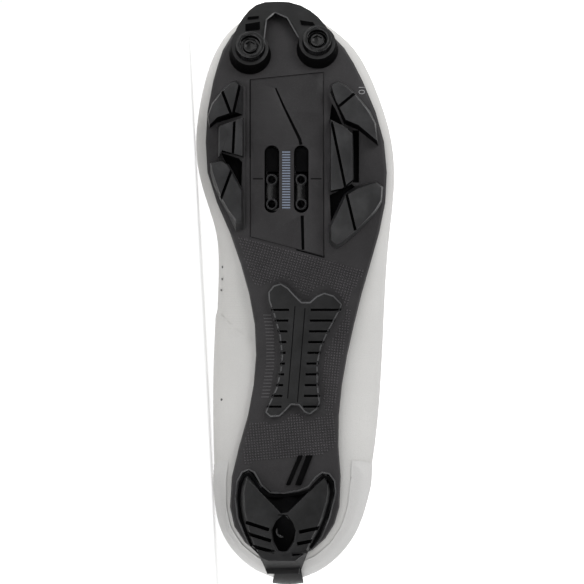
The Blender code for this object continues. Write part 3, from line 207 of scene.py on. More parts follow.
class ShoeColours(bpy.types.PropertyGroup):
    upper: bpy.props.FloatVectorProperty(
        name="Upper", description="Coated microfibre of the upper", subtype="COLOR",
        default=(0.68, 0.673, 0.657), min=0.0, max=1.0)
    counter: bpy.props.FloatVectorProperty(
        name="Heel counter", description="Satin overlay round the heel", subtype="COLOR",
        default=(0.67, 0.665, 0.655), min=0.0, max=1.0)
    plate: bpy.props.FloatVectorProperty(
        name="Sole plate", description="Charcoal nylon of the plate and its panel", subtype="COLOR",
        default=(0.031, 0.0295, 0.031), min=0.0, max=1.0)
    rubber: bpy.props.FloatVectorProperty(
        name="Rubber", description="Black rubber of the lugs and pads", subtype="COLOR",
        default=(0.020, 0.020, 0.0208), min=0.0, max=1.0)
    print_ink: bpy.props.FloatVectorProperty(
        name="Printed scale", description="Pale ink of the cleat scale", subtype="COLOR",
        default=(0.20, 0.24, 0.32), min=0.0, max=1.0)


class ShoeSizes(bpy.types.PropertyGroup):
    lug_edge: bpy.props.FloatProperty(
        name="Lug edge", description="Width of the rounded edge on the rubber lugs",
        default=0.0005, min=0.0001, max=0.001, unit="LENGTH", precision=5)
    dot_pitch: bpy.props.FloatProperty(
        name="Dot pitch", description="Distance between the moulded dots on the waist",
        default=0.00134, min=0.0008, max=0.003, unit="LENGTH", precision=5)
    dot_width: bpy.props.FloatProperty(
        name="Dot width", description="Width of one moulded dot",
        default=0.00092, min=0.0003, max=0.002, unit="LENGTH", precision=5)
    dot_height: bpy.props.FloatProperty(
        name="Dot height", description="How far a moulded dot stands off the plate",
        default=0.00036, min=0.0001, max=0.001, unit="LENGTH", precision=5)
    collar_padding: bpy.props.FloatProperty(
        name="Collar padding", description="How far the padded collar swells inwards",
        default=0.0032, min=0.0, max=0.006, unit="LENGTH", precision=4)
    camera_distance: bpy.props.FloatProperty(
        name="Camera distance", description="From the camera to the sole",
        default=4.0, min=0.5, max=6.0, unit="LENGTH")


def sizes():
    return bpy.context.scene.shoe_sizes


def colours():
    return bpy.context.scene.shoe_colours


def spot(across, down, height=0.0):
    """A place in the shoe's frame from the sole's drawing."""
    return Vector(((DRAWING_CENTRE - across) * UNIT, (DRAWING_HEEL - down) * UNIT, height))


def drawn(point):
    """A place of the shoe's frame on the sole's drawing."""
    return DRAWING_CENTRE - point.x / UNIT, DRAWING_HEEL - point.y / UNIT


def smoothstep(low, high, value):
    share = min(max((value - low) / (high - low), 0.0), 1.0)
    return share * share * (3 - 2 * share)


def between(table, value):
    """Straight-line reading of a table of pairs."""
    if value <= table[0][0]:
        return table[0][1]
    for (a, read_a), (b, read_b) in zip(table, table[1:]):
        if value <= b:
            return read_a + (read_b - read_a) * (value - a) / (b - a)
    return table[-1][1]


def inside(polygon, across, down):
    corners = [Vector((a, d, 0.0)) for a, d in polygon]
    place = Vector((across, down))
    return any(
        intersect_point_tri_2d(place, *(corners[i].to_2d() for i in tri))
        for tri in tessellate_polygon([corners])
    )


# Meshes

def standing(node):
    """A CAD node's mesh, merged, in the shoe's frame."""
    bm = bmesh.new()
    bm.from_mesh(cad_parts[node].data)
    bm.transform(STAND)
    bmesh.ops.remove_doubles(bm, verts=bm.verts, dist=MERGE)
    bm.normal_update()
    return bm


def surface_of(*nodes):
    """The CAD surface of one node or more, for finding places on it."""
    points, faces = [], []
    for node in nodes:
        bm = standing(node)
        first = len(points)
        points += [vert.co.copy() for vert in bm.verts]
        faces += [[first + vert.index for vert in face.verts] for face in bm.faces]
        bm.free()
    return BVHTree.FromPolygons(points, faces)


def seen_from_below(tree, place):
    """Where a line up from the tread first meets a surface, and its normal there."""
    hit, normal, _, _ = tree.ray_cast(Vector((place.x, place.y, -0.05)), Vector((0, 0, 1)))
    return hit, normal


def new_object(name, bm):
    mesh = bpy.data.meshes.new(name)
    bm.to_mesh(mesh)
    bm.free()
    item = bpy.data.objects.new(name, mesh)
    bpy.context.scene.collection.objects.link(item)
    return item


def settled(item):
    """Apply all of an object's modifiers."""
    graph = bpy.context.evaluated_depsgraph_get()
    mesh = bpy.data.meshes.new_from_object(item.evaluated_get(graph))
    item.modifiers.clear()
    old = item.data
    item.data = mesh
    bpy.data.meshes.remove(old)
    return item


def as_quads(bm):
    bmesh.ops.join_triangles(
        bm, faces=bm.faces,
        angle_face_threshold=math.radians(14), angle_shape_threshold=math.radians(70))


def subdivided(name, bm, levels, crease_angle, crease=1.0):
    """Round a faceted form off, keeping its sharp edges."""
    as_quads(bm)
    layer = bm.edges.layers.float.new("crease_edge")
    for edge in bm.edges:
        if edge.calc_face_angle(0.0) > math.radians(crease_angle):
            edge[layer] = crease
    item = new_object(name, bm)
    smooth = item.modifiers.new("round", "SUBSURF")
    smooth.levels = levels
    smooth.render_levels = levels
    return settled(item)


def bevelled(item, width, segments=2, angle=28):
    edge = item.modifiers.new("edges", "BEVEL")
    edge.width = width
    edge.segments = segments
    edge.limit_method = "ANGLE"
    edge.angle_limit = math.radians(angle)
    edge.use_clamp_overlap = True
    edge.miter_outer = "MITER_ARC"
    while len(item.data.materials) < 3:
        item.data.materials.append(None)
    edge.material = EDGE
    return settled(item)


def flattened(name, bm):
    """A faceted block with its coplanar triangles joined."""
    bmesh.ops.dissolve_limit(
        bm, angle_limit=math.radians(1.0), verts=bm.verts, edges=bm.edges)
    return new_object(name, bm)


def cut_out(item, tool):
    cut = item.modifiers.new("cut", "BOOLEAN")
    cut.operation = "DIFFERENCE"
    cut.solver = "EXACT"
    cut.object = tool
    settled(item)
    bpy.data.objects.remove(tool, do_unlink=True)
    return item


def prism(name, points, lows, highs):
    """A block over a flat outline, with a low and a high for each corner."""
    bm = bmesh.new()
    floor = [bm.verts.new((p.x, p.y, z)) for p, z in zip(points, lows)]
    roof = [bm.verts.new((p.x, p.y, z)) for p, z in zip(points, highs)]
    bm.faces.new(floor)
    bm.faces.new(roof)
    for i in range(len(points)):
        j = (i + 1) % len(points)
        bm.faces.new((floor[i], floor[j], roof[j], roof[i]))
    bmesh.ops.recalc_face_normals(bm, faces=bm.faces)
    return new_object(name, bm)


def pocket(tree, corners, out, deep):
    """A block from a little below a surface to a little inside it."""
    points = [spot(*corner) for corner in corners]
    hits = [seen_from_below(tree, point)[0] for point in points]
    levels = [hit.z for hit in hits if hit is not None]
    if not levels:
        raise RuntimeError("A pocket misses its piece")
    middle = sum(levels) / len(levels)
    heights = [hit.z if hit is not None else middle for hit in hits]
    return prism("pocket", points, [h - out for h in heights], [h + deep for h in heights])


def stations(path, step):
    """Points along a path, no further apart than one step."""
    points = [path[0]]
    for a, b in zip(path, path[1:]):
        count = max(1, math.ceil((b - a).length / step))
        points += [a.lerp(b, i / count) for i in range(1, count + 1)]
    return points


def bridged(levels, reach=3):
    """Heights carried level over the steps they cross."""
    def around(values, i):
        return values[max(i - reach, 0):i + reach + 1]
    nearest = [min(around(levels, i)) for i in range(len(levels))]
    return [sum(around(nearest, i)) / len(around(nearest, i)) for i in range(len(levels))]


def strip_rows(bm, tree, path, widths, out, deep, bridge=False):
    """A closed strip along a path, from below a surface to inside it."""
    points = stations(path, 0.0012)
    sides, levels = [], []
    for i, point in enumerate(points):
        before, after = points[max(i - 1, 0)], points[min(i + 1, len(points) - 1)]
        across = (after - before).normalized().cross(Vector((0, 0, 1)))
        half = (widths[0] + (widths[1] - widths[0]) * i / (len(points) - 1)) / 2
        pair = [point + across * half, point - across * half]
        hits = [seen_from_below(tree, side)[0] for side in pair]
        if None not in hits:
            sides.append(pair)
            levels.append([hit.z for hit in hits])
    if len(sides) < 2:
        raise RuntimeError("A strip misses its piece")
    if bridge:
        levels = [[low] * 2 for low in bridged([min(pair) for pair in levels])]
    rows = [
        [bm.verts.new((side.x, side.y, z)) for side, z in (
            (first, a - out), (second, b - out), (second, b + deep), (first, a + deep))]
        for (first, second), (a, b) in zip(sides, levels)
    ]
    for near, far in zip(rows, rows[1:]):
        for i in range(4):
            j = (i + 1) % 4
            bm.faces.new((near[i], near[j], far[j], far[i]))
    bm.faces.new(rows[0])
    bm.faces.new(rows[-1])


def wing(name, tree, outer, inner, out):
    """A block between two paths, its face one distance below a surface."""
    bm = bmesh.new()
    steps = 5
    rows = []
    for first, last in zip(inner, outer):
        row, level = [], None
        for i in range(steps + 1):
            point = spot(*first).lerp(spot(*last), i / steps)
            hit = seen_from_below(tree, point)[0]
            level = hit.z if hit is not None else level
            face_vert = bm.verts.new((point.x, point.y, level - out))
            row.append((face_vert, bm.verts.new((point.x, point.y, level + MM))))
        rows.append(row)
    for near, far in zip(rows, rows[1:]):
        for i in range(steps):
            for k in (0, 1):
                bm.faces.new((near[i][k], near[i + 1][k], far[i + 1][k], far[i][k]))
        for i in (0, steps):
            bm.faces.new((near[i][0], near[i][1], far[i][1], far[i][0]))
    for row in (rows[0], rows[-1]):
        for i in range(steps):
            bm.faces.new((row[i][0], row[i + 1][0], row[i + 1][1], row[i][1]))
    bmesh.ops.recalc_face_normals(bm, faces=bm.faces)
    return new_object(name, bm)


def outline_of(node):
    """The closed outline of a pad's back face, in order."""
    bm = standing(node)
    follow = {}
    for edge in bm.edges:
        for loop in edge.link_loops:
            others = [face for face in edge.link_faces if face != loop.face]
            if loop.face.normal.z > 0.5 and all(face.normal.z <= 0.5 for face in others):
                follow[loop.vert] = loop.link_loop_next.vert
    start = next(iter(follow))
    path, here = [start.co.copy()], follow[start]
    while here != start:
        path.append(here.co.copy())
        here = follow[here]
    bm.free()
    return path


def inset_loop(path, distance):
    """A closed outline moved square in from both edges at each corner."""
    count = len(path)
    area = sum(corner.cross(path[(i + 1) % count]).z for i, corner in enumerate(path))
    inwards = Vector((0, 0, 1 if area > 0 else -1))
    moved = []
    for i, corner in enumerate(path):
        before = inwards.cross((corner - path[i - 1]).normalized())
        after = inwards.cross((path[(i + 1) % count] - corner).normalized())
        half = (before + after).normalized()
        moved.append(corner + half * distance / max(half.dot(before), 0.5))
    return moved + moved[:1]


def engrave(item, tree, groove):
    """Cut one groove of the drawing into a piece."""
    path, widths, depth = groove
    bm = bmesh.new()
    strip_rows(bm, tree, [spot(*point) for point in path], [w * UNIT for w in widths], 0.002, depth)
    bmesh.ops.recalc_face_normals(bm, faces=bm.faces)
    return cut_out(item, new_object("groove", bm))


def printed(name, tree, strokes, width, slot, material, out=0.00006, deep=0.0003, bridge=False):
    """Strokes laid on a surface, or standing out from it."""
    bm = bmesh.new()
    widths = width if isinstance(width, tuple) else (width, width)
    for stroke in strokes:
        path = [point if isinstance(point, Vector) else spot(*point) for point in stroke]
        strip_rows(bm, tree, path, widths, out, deep, bridge)
    bmesh.ops.recalc_face_normals(bm, faces=bm.faces)
    return laid(new_object(name, bm), slot, (material,))


def mark_shaded(item, tree, sunk=0.0007, bright=lambda normal: False, hollow=None, heelward=False):
    """Mark walls and grooves that stay in the shade; the rounded edges are marked already."""
    top = min(vert.co.z for vert in item.data.vertices)
    for face in item.data.polygons:
        facing = -face.normal.z
        if hollow and face.center.z > top + 0.0008 and inside(hollow, *drawn(face.center)):
            face.material_index = SHADE
            continue
        if face.material_index == EDGE and facing > 0.3:
            continue
        if heelward and face.normal.y < -0.12 and facing < 0.96:
            face.material_index = SHADE
            continue
        if facing < 0.4:
            face.material_index = TREAD if bright(face.normal) else SHADE
            continue
        face.material_index = TREAD
        for way in (*AROUND, Vector()):
            hit = seen_from_below(tree, face.center + way)[0]
            level = face.center.z - face.normal.xy.dot(way.xy) / face.normal.z
            if hit is not None and level - hit.z > sunk:
                face.material_index = SHADE
    return item


def laid(item, slot, materials, *nodes):
    """Lay a finished piece down with the shoe and hand it to the frame; its faces keep their marks."""
    marks = [face.material_index if len(materials) > face.material_index else 0
             for face in item.data.polygons]
    item.data.transform(LAY)
    item.data.materials.clear()
    for material in materials:
        item.data.materials.append(material)
    for face, mark in zip(item.data.polygons, marks):
        face.material_index = mark
    item.data.shade_smooth()
    item.data.set_sharp_from_angle(angle=math.radians(34))
    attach(item, "root")
    if nodes:
        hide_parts(*nodes)
    return item


# Repeated details

def scatter_tree(name, shape, material):
    """Nodes that set one small shape on each point, turned to the surface."""
    tree = bpy.data.node_groups.new(name, "GeometryNodeTree")
    tree.interface.new_socket("Points", in_out="INPUT", socket_type="NodeSocketGeometry")
    for label in ("Length", "Width", "Height"):
        tree.interface.new_socket(label, in_out="INPUT", socket_type="NodeSocketFloat")
    tree.interface.new_socket("Pieces", in_out="OUTPUT", socket_type="NodeSocketGeometry")
    nodes, links = tree.nodes, tree.links
    source = nodes.new("NodeGroupInput")
    result = nodes.new("NodeGroupOutput")
    if shape == "dot":
        body = nodes.new("GeometryNodeMeshCone")
        body.inputs["Vertices"].default_value = 8
        body.inputs["Radius Top"].default_value = 0.30
        body.inputs["Radius Bottom"].default_value = 0.5
        body.inputs["Depth"].default_value = 1.0
    else:
        body = nodes.new("GeometryNodeMeshCube")
    turns = []
    for label, axis, pivot in (("facing", "Z", "AUTO"), ("heading", "X", "Z")):
        read = nodes.new("GeometryNodeInputNamedAttribute")
        read.data_type = "FLOAT_VECTOR"
        read.inputs["Name"].default_value = label
        turn = nodes.new("FunctionNodeAlignRotationToVector")
        turn.axis = axis
        turn.pivot_axis = pivot
        links.new(read.outputs["Attribute"], turn.inputs["Vector"])
        turns.append(turn)
    links.new(turns[0].outputs["Rotation"], turns[1].inputs["Rotation"])
    size = nodes.new("ShaderNodeCombineXYZ")
    links.new(source.outputs["Length"], size.inputs["X"])
    links.new(source.outputs["Width"], size.inputs["Y"])
    links.new(source.outputs["Height"], size.inputs["Z"])
    place = nodes.new("GeometryNodeInstanceOnPoints")
    links.new(source.outputs["Points"], place.inputs["Points"])
    links.new(body.outputs["Mesh"], place.inputs["Instance"])
    links.new(turns[1].outputs["Rotation"], place.inputs["Rotation"])
    links.new(size.outputs["Vector"], place.inputs["Scale"])
    realize = nodes.new("GeometryNodeRealizeInstances")
    links.new(place.outputs["Instances"], realize.inputs["Geometry"])
    paint = nodes.new("GeometryNodeSetMaterial")
    paint.inputs["Material"].default_value = material
    links.new(realize.outputs["Geometry"], paint.inputs["Geometry"])
    links.new(paint.outputs["Geometry"], result.inputs["Pieces"])
    return tree


def scattered(name, shape, places, size, material):
    """One mesh of small pieces: places are (point, facing, heading) in the shoe's frame."""
    turn = LAY.to_3x3()
    mesh = bpy.data.meshes.new(name)
    mesh.from_pydata([LAY @ point for point, _, _ in places], [], [])
    for label, index in (("facing", 1), ("heading", 2)):
        values = mesh.attributes.new(label, "FLOAT_VECTOR", "POINT")
        for i, entry in enumerate(places):
            values.data[i].vector = turn @ entry[index]
    item = bpy.data.objects.new(name, mesh)
    bpy.context.scene.collection.objects.link(item)
    tree = scatter_tree(name, shape, material)
    made = item.modifiers.new("pieces", "NODES")
    made.node_group = tree
    for label, value in zip(("Length", "Width", "Height"), size):
        socket = tree.interface.items_tree[label].identifier
        made[socket] = value
    settled(item)
    item.data.shade_smooth()
    item.data.set_sharp_from_angle(angle=math.radians(34))
    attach(item, "root")
    return item


# Materials

class Finish:
    """A procedural material: its colour, its gloss and a chain of bumps in shoe millimetres."""

    def __init__(self, name, colour, roughness, metallic=0.0):
        self.material = bpy.data.materials.new(name)
        self.material.use_nodes = True
        tree = self.material.node_tree
        self.nodes, self.links = tree.nodes, tree.links
        self.shader = self.nodes["Principled BSDF"]
        self.shader.inputs["Base Color"].default_value = (*colour, 1.0)
        self.shader.inputs["Roughness"].default_value = roughness
        self.shader.inputs["Metallic"].default_value = metallic
        self.material.diffuse_color = (*colour, 1.0)
        where = self.nodes.new("ShaderNodeTexCoord")
        turn = self.nodes.new("ShaderNodeMapping")
        turn.vector_type = "TEXTURE"
        turn.inputs["Location"].default_value = LAY.to_translation()
        turn.inputs["Rotation"].default_value = LAY.to_euler()
        turn.inputs["Scale"].default_value = (MM, MM, MM)
        self.links.new(where.outputs["Object"], turn.inputs["Vector"])
        self.place = turn.outputs["Vector"]
        self.last_bump = None

    def noise(self, scale, detail=3.0, rough=0.55, stretch=None):
        texture = self.nodes.new("ShaderNodeTexNoise")
        texture.inputs["Scale"].default_value = scale
        texture.inputs["Detail"].default_value = detail
        texture.inputs["Roughness"].default_value = rough
        self.links.new(self.stretched(stretch), texture.inputs["Vector"])
        return texture.outputs["Fac"]

    def cells(self, scale, feature="F1"):
        texture = self.nodes.new("ShaderNodeTexVoronoi")
        texture.feature = feature
        texture.inputs["Scale"].default_value = scale
        self.links.new(self.place, texture.inputs["Vector"])
        return texture.outputs["Distance"]

    def waves(self, scale, direction, distortion=0.0):
        texture = self.nodes.new("ShaderNodeTexWave")
        texture.bands_direction = direction
        texture.inputs["Scale"].default_value = scale
        texture.inputs["Distortion"].default_value = distortion
        self.links.new(self.place, texture.inputs["Vector"])
        return texture.outputs["Fac"]

    def stretched(self, stretch):
        if stretch is None:
            return self.place
        scale = self.nodes.new("ShaderNodeMapping")
        scale.inputs["Scale"].default_value = stretch
        self.links.new(self.place, scale.inputs["Vector"])
        return scale.outputs["Vector"]

    def range(self, value, low, high, out_low, out_high):
        node = self.nodes.new("ShaderNodeMapRange")
        node.clamp = True
        labels = ("From Min", "From Max", "To Min", "To Max")
        for label, number in zip(labels, (low, high, out_low, out_high)):
            node.inputs[label].default_value = number
        self.links.new(value, node.inputs["Value"])
        return node.outputs["Result"]

    def times(self, a, b):
        node = self.nodes.new("ShaderNodeMath")
        node.operation = "MULTIPLY"
        self.links.new(a, node.inputs[0])
        self.links.new(b, node.inputs[1])
        return node.outputs["Value"]

    def axis(self, name):
        node = self.nodes.new("ShaderNodeSeparateXYZ")
        self.links.new(self.place, node.inputs["Vector"])
        return node.outputs[name]

    def mix(self, fac, first, second):
        """Mix two colours, or a colour into the last mix."""
        node = self.nodes.new("ShaderNodeMix")
        node.data_type = "RGBA"
        self.links.new(fac, node.inputs["Factor"])
        for label, colour in (("A", first), ("B", second)):
            socket = next(s for s in node.inputs if s.name == label and s.type == "RGBA")
            if isinstance(colour, bpy.types.NodeSocket):
                self.links.new(colour, socket)
            else:
                socket.default_value = (*colour, 1.0)
        return next(s for s in node.outputs if s.type == "RGBA")

    def colour(self, socket):
        self.links.new(socket, self.shader.inputs["Base Color"])
        return self

    def gloss(self, socket):
        self.links.new(socket, self.shader.inputs["Roughness"])
        return self

    def bump(self, height, distance, strength=1.0):
        """Add relief: distance is its depth in metres."""
        node = self.nodes.new("ShaderNodeBump")
        node.inputs["Strength"].default_value = strength
        node.inputs["Distance"].default_value = distance
        self.links.new(height, node.inputs["Height"])
        if self.last_bump:
            self.links.new(self.last_bump, node.inputs["Normal"])
        self.last_bump = node.outputs["Normal"]
        self.links.new(self.last_bump, self.shader.inputs["Normal"])
        return self

    def set(self, **values):
        for label, value in values.items():
            self.shader.inputs[label.replace("_", " ")].default_value = value
        return self


def shade(colour, factor):
    return tuple(min(part * factor, 1.0) for part in colour)


def microfibre(name, colour, roughness, ribbed):
    """Coated microfibre: a fine pebble, soft clouding, and ribbing near the waist."""
    finish = Finish(name, colour, roughness)
    cloud = finish.noise(0.035, detail=4)
    tone = finish.mix(finish.range(cloud, 0.35, 0.65, 0, 1), shade(colour, 0.965), shade(colour, 1.02))
    fleck = finish.range(finish.noise(3.2, detail=2), 0.30, 0.50, 0, 1)
    finish.colour(finish.mix(fleck, shade(colour, 0.90), tone))
    finish.gloss(finish.range(finish.noise(0.8), 0.3, 0.7, roughness - 0.06, roughness + 0.08))
    finish.bump(finish.cells(1.9), 0.00006, 0.55)
    finish.bump(finish.noise(0.45, detail=5), 0.00016, 0.35)
    if ribbed:
        along = finish.axis("Y")
        zone = finish.times(finish.range(along, 118, 124, 0, 1), finish.range(along, 142, 150, 1, 0))
        medial = finish.range(finish.axis("X"), 18, 22, 0, 1)
        low = finish.range(finish.axis("Z"), 44, 50, 1, 0)
        mask = finish.times(finish.times(zone, medial), low)
        finish.bump(finish.times(finish.waves(0.26, "Y"), mask), 0.00012, 0.25)
    finish.set(Coat_Weight=0.06, Coat_Roughness=0.35, Sheen_Weight=0.05)
    return finish.material


def moulded_nylon(name, colour, roughness):
    """Glass-filled nylon with a spark-eroded skin."""
    finish = Finish(name, colour, roughness)
    cloud = finish.noise(0.06, detail=5)
    tone = finish.mix(finish.range(cloud, 0.3, 0.7, 0, 1), shade(colour, 0.85), shade(colour, 1.20))
    speck = finish.range(finish.noise(4.5, detail=1), 0.62, 0.72, 0, 1)
    finish.colour(finish.mix(speck, tone, shade(colour, 2.1)))
    finish.gloss(finish.range(finish.noise(0.5, detail=4), 0.3, 0.7, roughness - 0.07, roughness + 0.07))
    finish.bump(finish.noise(3.4, detail=3), 0.00007, 0.7)
    finish.bump(finish.noise(0.25, detail=3), 0.00012, 0.3)
    finish.set(Specular_IOR_Level=0.24)
    return finish.material


def moulded_rubber(name, colour, roughness, specular=0.28):
    """Black rubber, satin, with a faint bloom and rubbed high spots."""
    finish = Finish(name, colour, roughness)
    bloom = finish.range(finish.noise(0.09, detail=6), 0.45, 0.75, 0, 1)
    finish.colour(finish.mix(bloom, colour, shade(colour, 1.9)))
    finish.gloss(finish.range(finish.noise(0.35, detail=5), 0.3, 0.7, roughness - 0.08, roughness + 0.10))
    finish.bump(finish.noise(2.2, detail=3), 0.00005, 0.6)
    finish.bump(finish.noise(0.3, detail=2), 0.00015, 0.35)
    finish.set(Specular_IOR_Level=specular)
    return finish.material


def knit(name, colour):
    """Knitted textile for the tongue and the lining."""
    finish = Finish(name, colour, 0.85)
    rows = finish.times(finish.waves(0.42, "Y", 0.6), finish.waves(0.42, "X", 0.6))
    finish.colour(finish.mix(rows, shade(colour, 0.66), shade(colour, 1.08)))
    finish.gloss(finish.range(finish.noise(1.5), 0.3, 0.7, 0.78, 0.92))
    finish.bump(rows, 0.00025, 0.7)
    finish.bump(finish.noise(2.5, detail=3), 0.00008, 0.5)
    finish.set(Sheen_Weight=0.35, Sheen_Roughness=0.45)
    return finish.material


def blackened_steel(name, colour, roughness):
    finish = Finish(name, colour, roughness, metallic=0.9)
    brushed = finish.noise(1.4, detail=4, stretch=(0.3, 3.0, 1.0))
    finish.colour(finish.mix(brushed, shade(colour, 0.8), shade(colour, 1.3)))
    finish.gloss(finish.range(brushed, 0.3, 0.7, roughness - 0.08, roughness + 0.10))
    finish.bump(brushed, 0.00002, 0.5)
    return finish.material


def ink(name, colour):
    finish = Finish(name, colour, 0.5)
    worn = finish.range(finish.noise(2.0, detail=4), 0.35, 0.6, 0, 1)
    finish.colour(finish.mix(worn, shade(colour, 0.78), colour))
    finish.bump(finish.noise(3.0), 0.00003, 0.4)
    return finish.material


def braided_wire(name, colour):
    finish = Finish(name, colour, 0.35, metallic=0.6)
    lay = finish.waves(1.2, "DIAGONAL", 0.3)
    finish.colour(finish.mix(lay, shade(colour, 0.6), shade(colour, 1.15)))
    finish.gloss(finish.range(lay, 0.2, 0.8, 0.42, 0.30))
    finish.bump(lay, 0.00008, 0.8)
    return finish.material


def studio_paper(name, value):
    finish = Finish(name, (value, value, value), 0.85)
    tone = finish.range(finish.noise(0.004, detail=2), 0.3, 0.7, 0, 1)
    finish.colour(finish.mix(tone, (value * 0.99,) * 3, (value,) * 3))
    finish.set(Emission_Color=(1.0, 1.0, 1.0, 1.0), Emission_Strength=PAPER_GLOW)
    return finish.material


FINISHES = {}


def make_finishes():
    tint = colours()
    FINISHES.update({
        "upper": microfibre("upper_microfibre", tuple(tint.upper), 0.52, True),
        "counter": microfibre("counter_film", tuple(tint.counter), 0.44, False),
        "lining": knit("collar_lining", (0.30, 0.30, 0.305)),
        "tongue": knit("tongue_knit", (0.50, 0.50, 0.495)),
        "insole": knit("insole_cloth", (0.06, 0.06, 0.064)),
        "plate": moulded_nylon("plate_nylon", tuple(tint.plate), 0.48),
        "panel": moulded_nylon("panel_nylon", shade(tint.plate, 0.88), 0.46),
        # Painted highlight: the dots and ribs take the plate nylon lightened 2.3 times, standing in for light
        # on their raised tops
        "dots": moulded_nylon("dots_painted_highlight", shade(tint.plate, 2.3), 0.40),
        "pad": moulded_rubber("pad_rubber", shade(tint.rubber, 0.5), 0.42),
        # Painted highlight: lighter, glossier rubber for the raised rim and neck lines
        "line": moulded_rubber("rim_highlight_rubber", shade(tint.rubber, 2.6), 0.30, 0.6),
        "rubber": moulded_rubber("lug_rubber", tuple(tint.rubber), 0.42),
        "stud": moulded_rubber("stud_rubber", (0.0035, 0.0035, 0.0038), 0.18, 0.45),
        "gloss": moulded_rubber("rubber_edge", tuple(tint.rubber), 0.22, 0.75),
        "shade": moulded_rubber("shaded_rubber", (0.0022, 0.0022, 0.0024), 0.75, 0.03),
        "steel": blackened_steel("screw_steel", (0.06, 0.06, 0.065), 0.32),
        "dial": moulded_rubber("dial_plastic", (0.012, 0.012, 0.013), 0.38),
        "wire": braided_wire("lace_wire_finish", (0.30, 0.30, 0.31)),
        "ink": ink("scale_ink", tuple(tint.print_ink)),
        "size_ink": ink("size_ink", (0.36, 0.36, 0.37)),
        "hole": moulded_rubber("vent_shadow", (0.10, 0.10, 0.10), 0.8),
    })


def rubber_set():
    return FINISHES["rubber"], FINISHES["gloss"], FINISHES["shade"]


def pad_set():
    return FINISHES["pad"], FINISHES["gloss"], FINISHES["shade"]


# The upper

def spine(point):
    """A point inside the shoe, for telling its outer faces from its inner ones."""
    return Vector((0.0, min(max(point.y, 0.05), 0.235), 0.042))


def collar_rim(bm):
    """The points of the upper's top edge, where its wall turns over."""
    places = []
    for edge in bm.edges:
        if edge.calc_face_angle(0.0) > math.radians(50) and edge.verts[0].co.z > 0.045:
            places += stations([vert.co.copy() for vert in edge.verts], 0.001)
    return places


def edge_places(bm, angle):
    """Close-set points along the sharp edges of a mesh, which is then let go."""
    places = []
    for edge in bm.edges:
        if edge.calc_face_angle(0.0) > math.radians(angle):
            places += stations([vert.co.copy() for vert in edge.verts], 0.0015)
    bm.free()
    return places


def near_points(points):
    tree = KDTree(len(points))
    for i, point in enumerate(points):
        tree.insert(point, i)
    tree.balance()
    return tree


def dress_upper():
    bm = standing("upper")
    rim = near_points(collar_rim(bm))
    item = subdivided("upper_shell", bm, 2, 50, 0.75)
    padding = sizes().collar_padding
    normals = [v.normal.copy() for v in item.data.vertices]
    for vert, normal in zip(item.data.vertices, normals):
        point = vert.co
        outwards = normal.dot(point - spine(point)) > 0
        away = rim.find(point)[2] if point.z > 0.03 else 1.0
        across, down = drawn(point)
        if not outwards and away < 0.030 and point.y < 0.135:
            swell = smoothstep(0.0015, 0.009, away) * smoothstep(0.030, 0.014, away)
            swell *= smoothstep(0.135, 0.105, point.y)
            vert.co += normal * padding * swell
        if outwards and 0.0022 < away < 0.0060:
            vert.co -= normal * 0.0003 * math.sin(math.pi * (away - 0.0022) / 0.0038)
        if outwards and point.x > 0.012 and across < 258 and point.z < 0.060:
            past = down - between(OVERLAY_EDGE, across)
            step = smoothstep(-1.0, 2.0, past) * smoothstep(130.0, 40.0, past)
            vert.co += normal * OVERLAY_STEP * step
    item.data.update()
    for face in item.data.polygons:
        if face.normal.dot(face.center - spine(face.center)) < 0 and face.center.z > 0.009:
            face.material_index = 1
    laid(item, "upper", (FINISHES["upper"], FINISHES["lining"]), "upper")


class SHOE_OT_upper(bpy.types.Operator):
    """Shape the upper with its padded collar, overlay and vent holes"""
    bl_idname = "shoe.upper"
    bl_label = "Upper"

    def execute(self, context):
        dress_upper()
        tree = surface_of("upper")
        places = []
        for across, down in PERFORATIONS:
            hit, normal = seen_from_below(tree, spot(across, down))
            if hit is None:
                raise RuntimeError("A vent hole misses the upper")
            places.append((hit + normal * 0.0002, normal, Vector((0, 1, 0))))
        # Painted shade: the vent holes are small dark dots standing on the upper
        scattered("medial_vents", "dot", places, (0.0013, 0.0013, 0.0002), FINISHES["hole"])
        printed("overlay_ridge", tree, (OVERLAY_EDGE[1:],), 0.0016, "upper", FINISHES["upper"], 0.0004)
        return {"FINISHED"}


class SHOE_OT_overlays(bpy.types.Operator):
    """Shape the heel counter, the tongue and the insole"""
    bl_idname = "shoe.overlays"
    bl_label = "Counter, tongue and insole"

    def execute(self, context):
        rim = near_points(edge_places(standing("heel_counter"), 50))
        counter = subdivided("counter_overlay", standing("heel_counter"), 3, 40, 0.85)
        under = surface_of("upper")
        for vert in counter.data.vertices:
            foot = under.find_nearest(vert.co)[0]
            share = smoothstep(0.0, 0.009, rim.find(vert.co)[2])
            vert.co = foot + (vert.co - foot) * (0.10 + 0.90 * share)
        laid(counter, "counter", (FINISHES["counter"],), "heel_counter")
        tongue = subdivided("tongue_pad", standing("tongue"), 2, 50, 0.55)
        laid(tongue, "tongue", (FINISHES["tongue"],), "tongue")
        insole = subdivided("insole_bed", standing("insole"), 2, 40, 0.8)
        laid(insole, "insole", (FINISHES["insole"],), "insole")
        return {"FINISHED"}


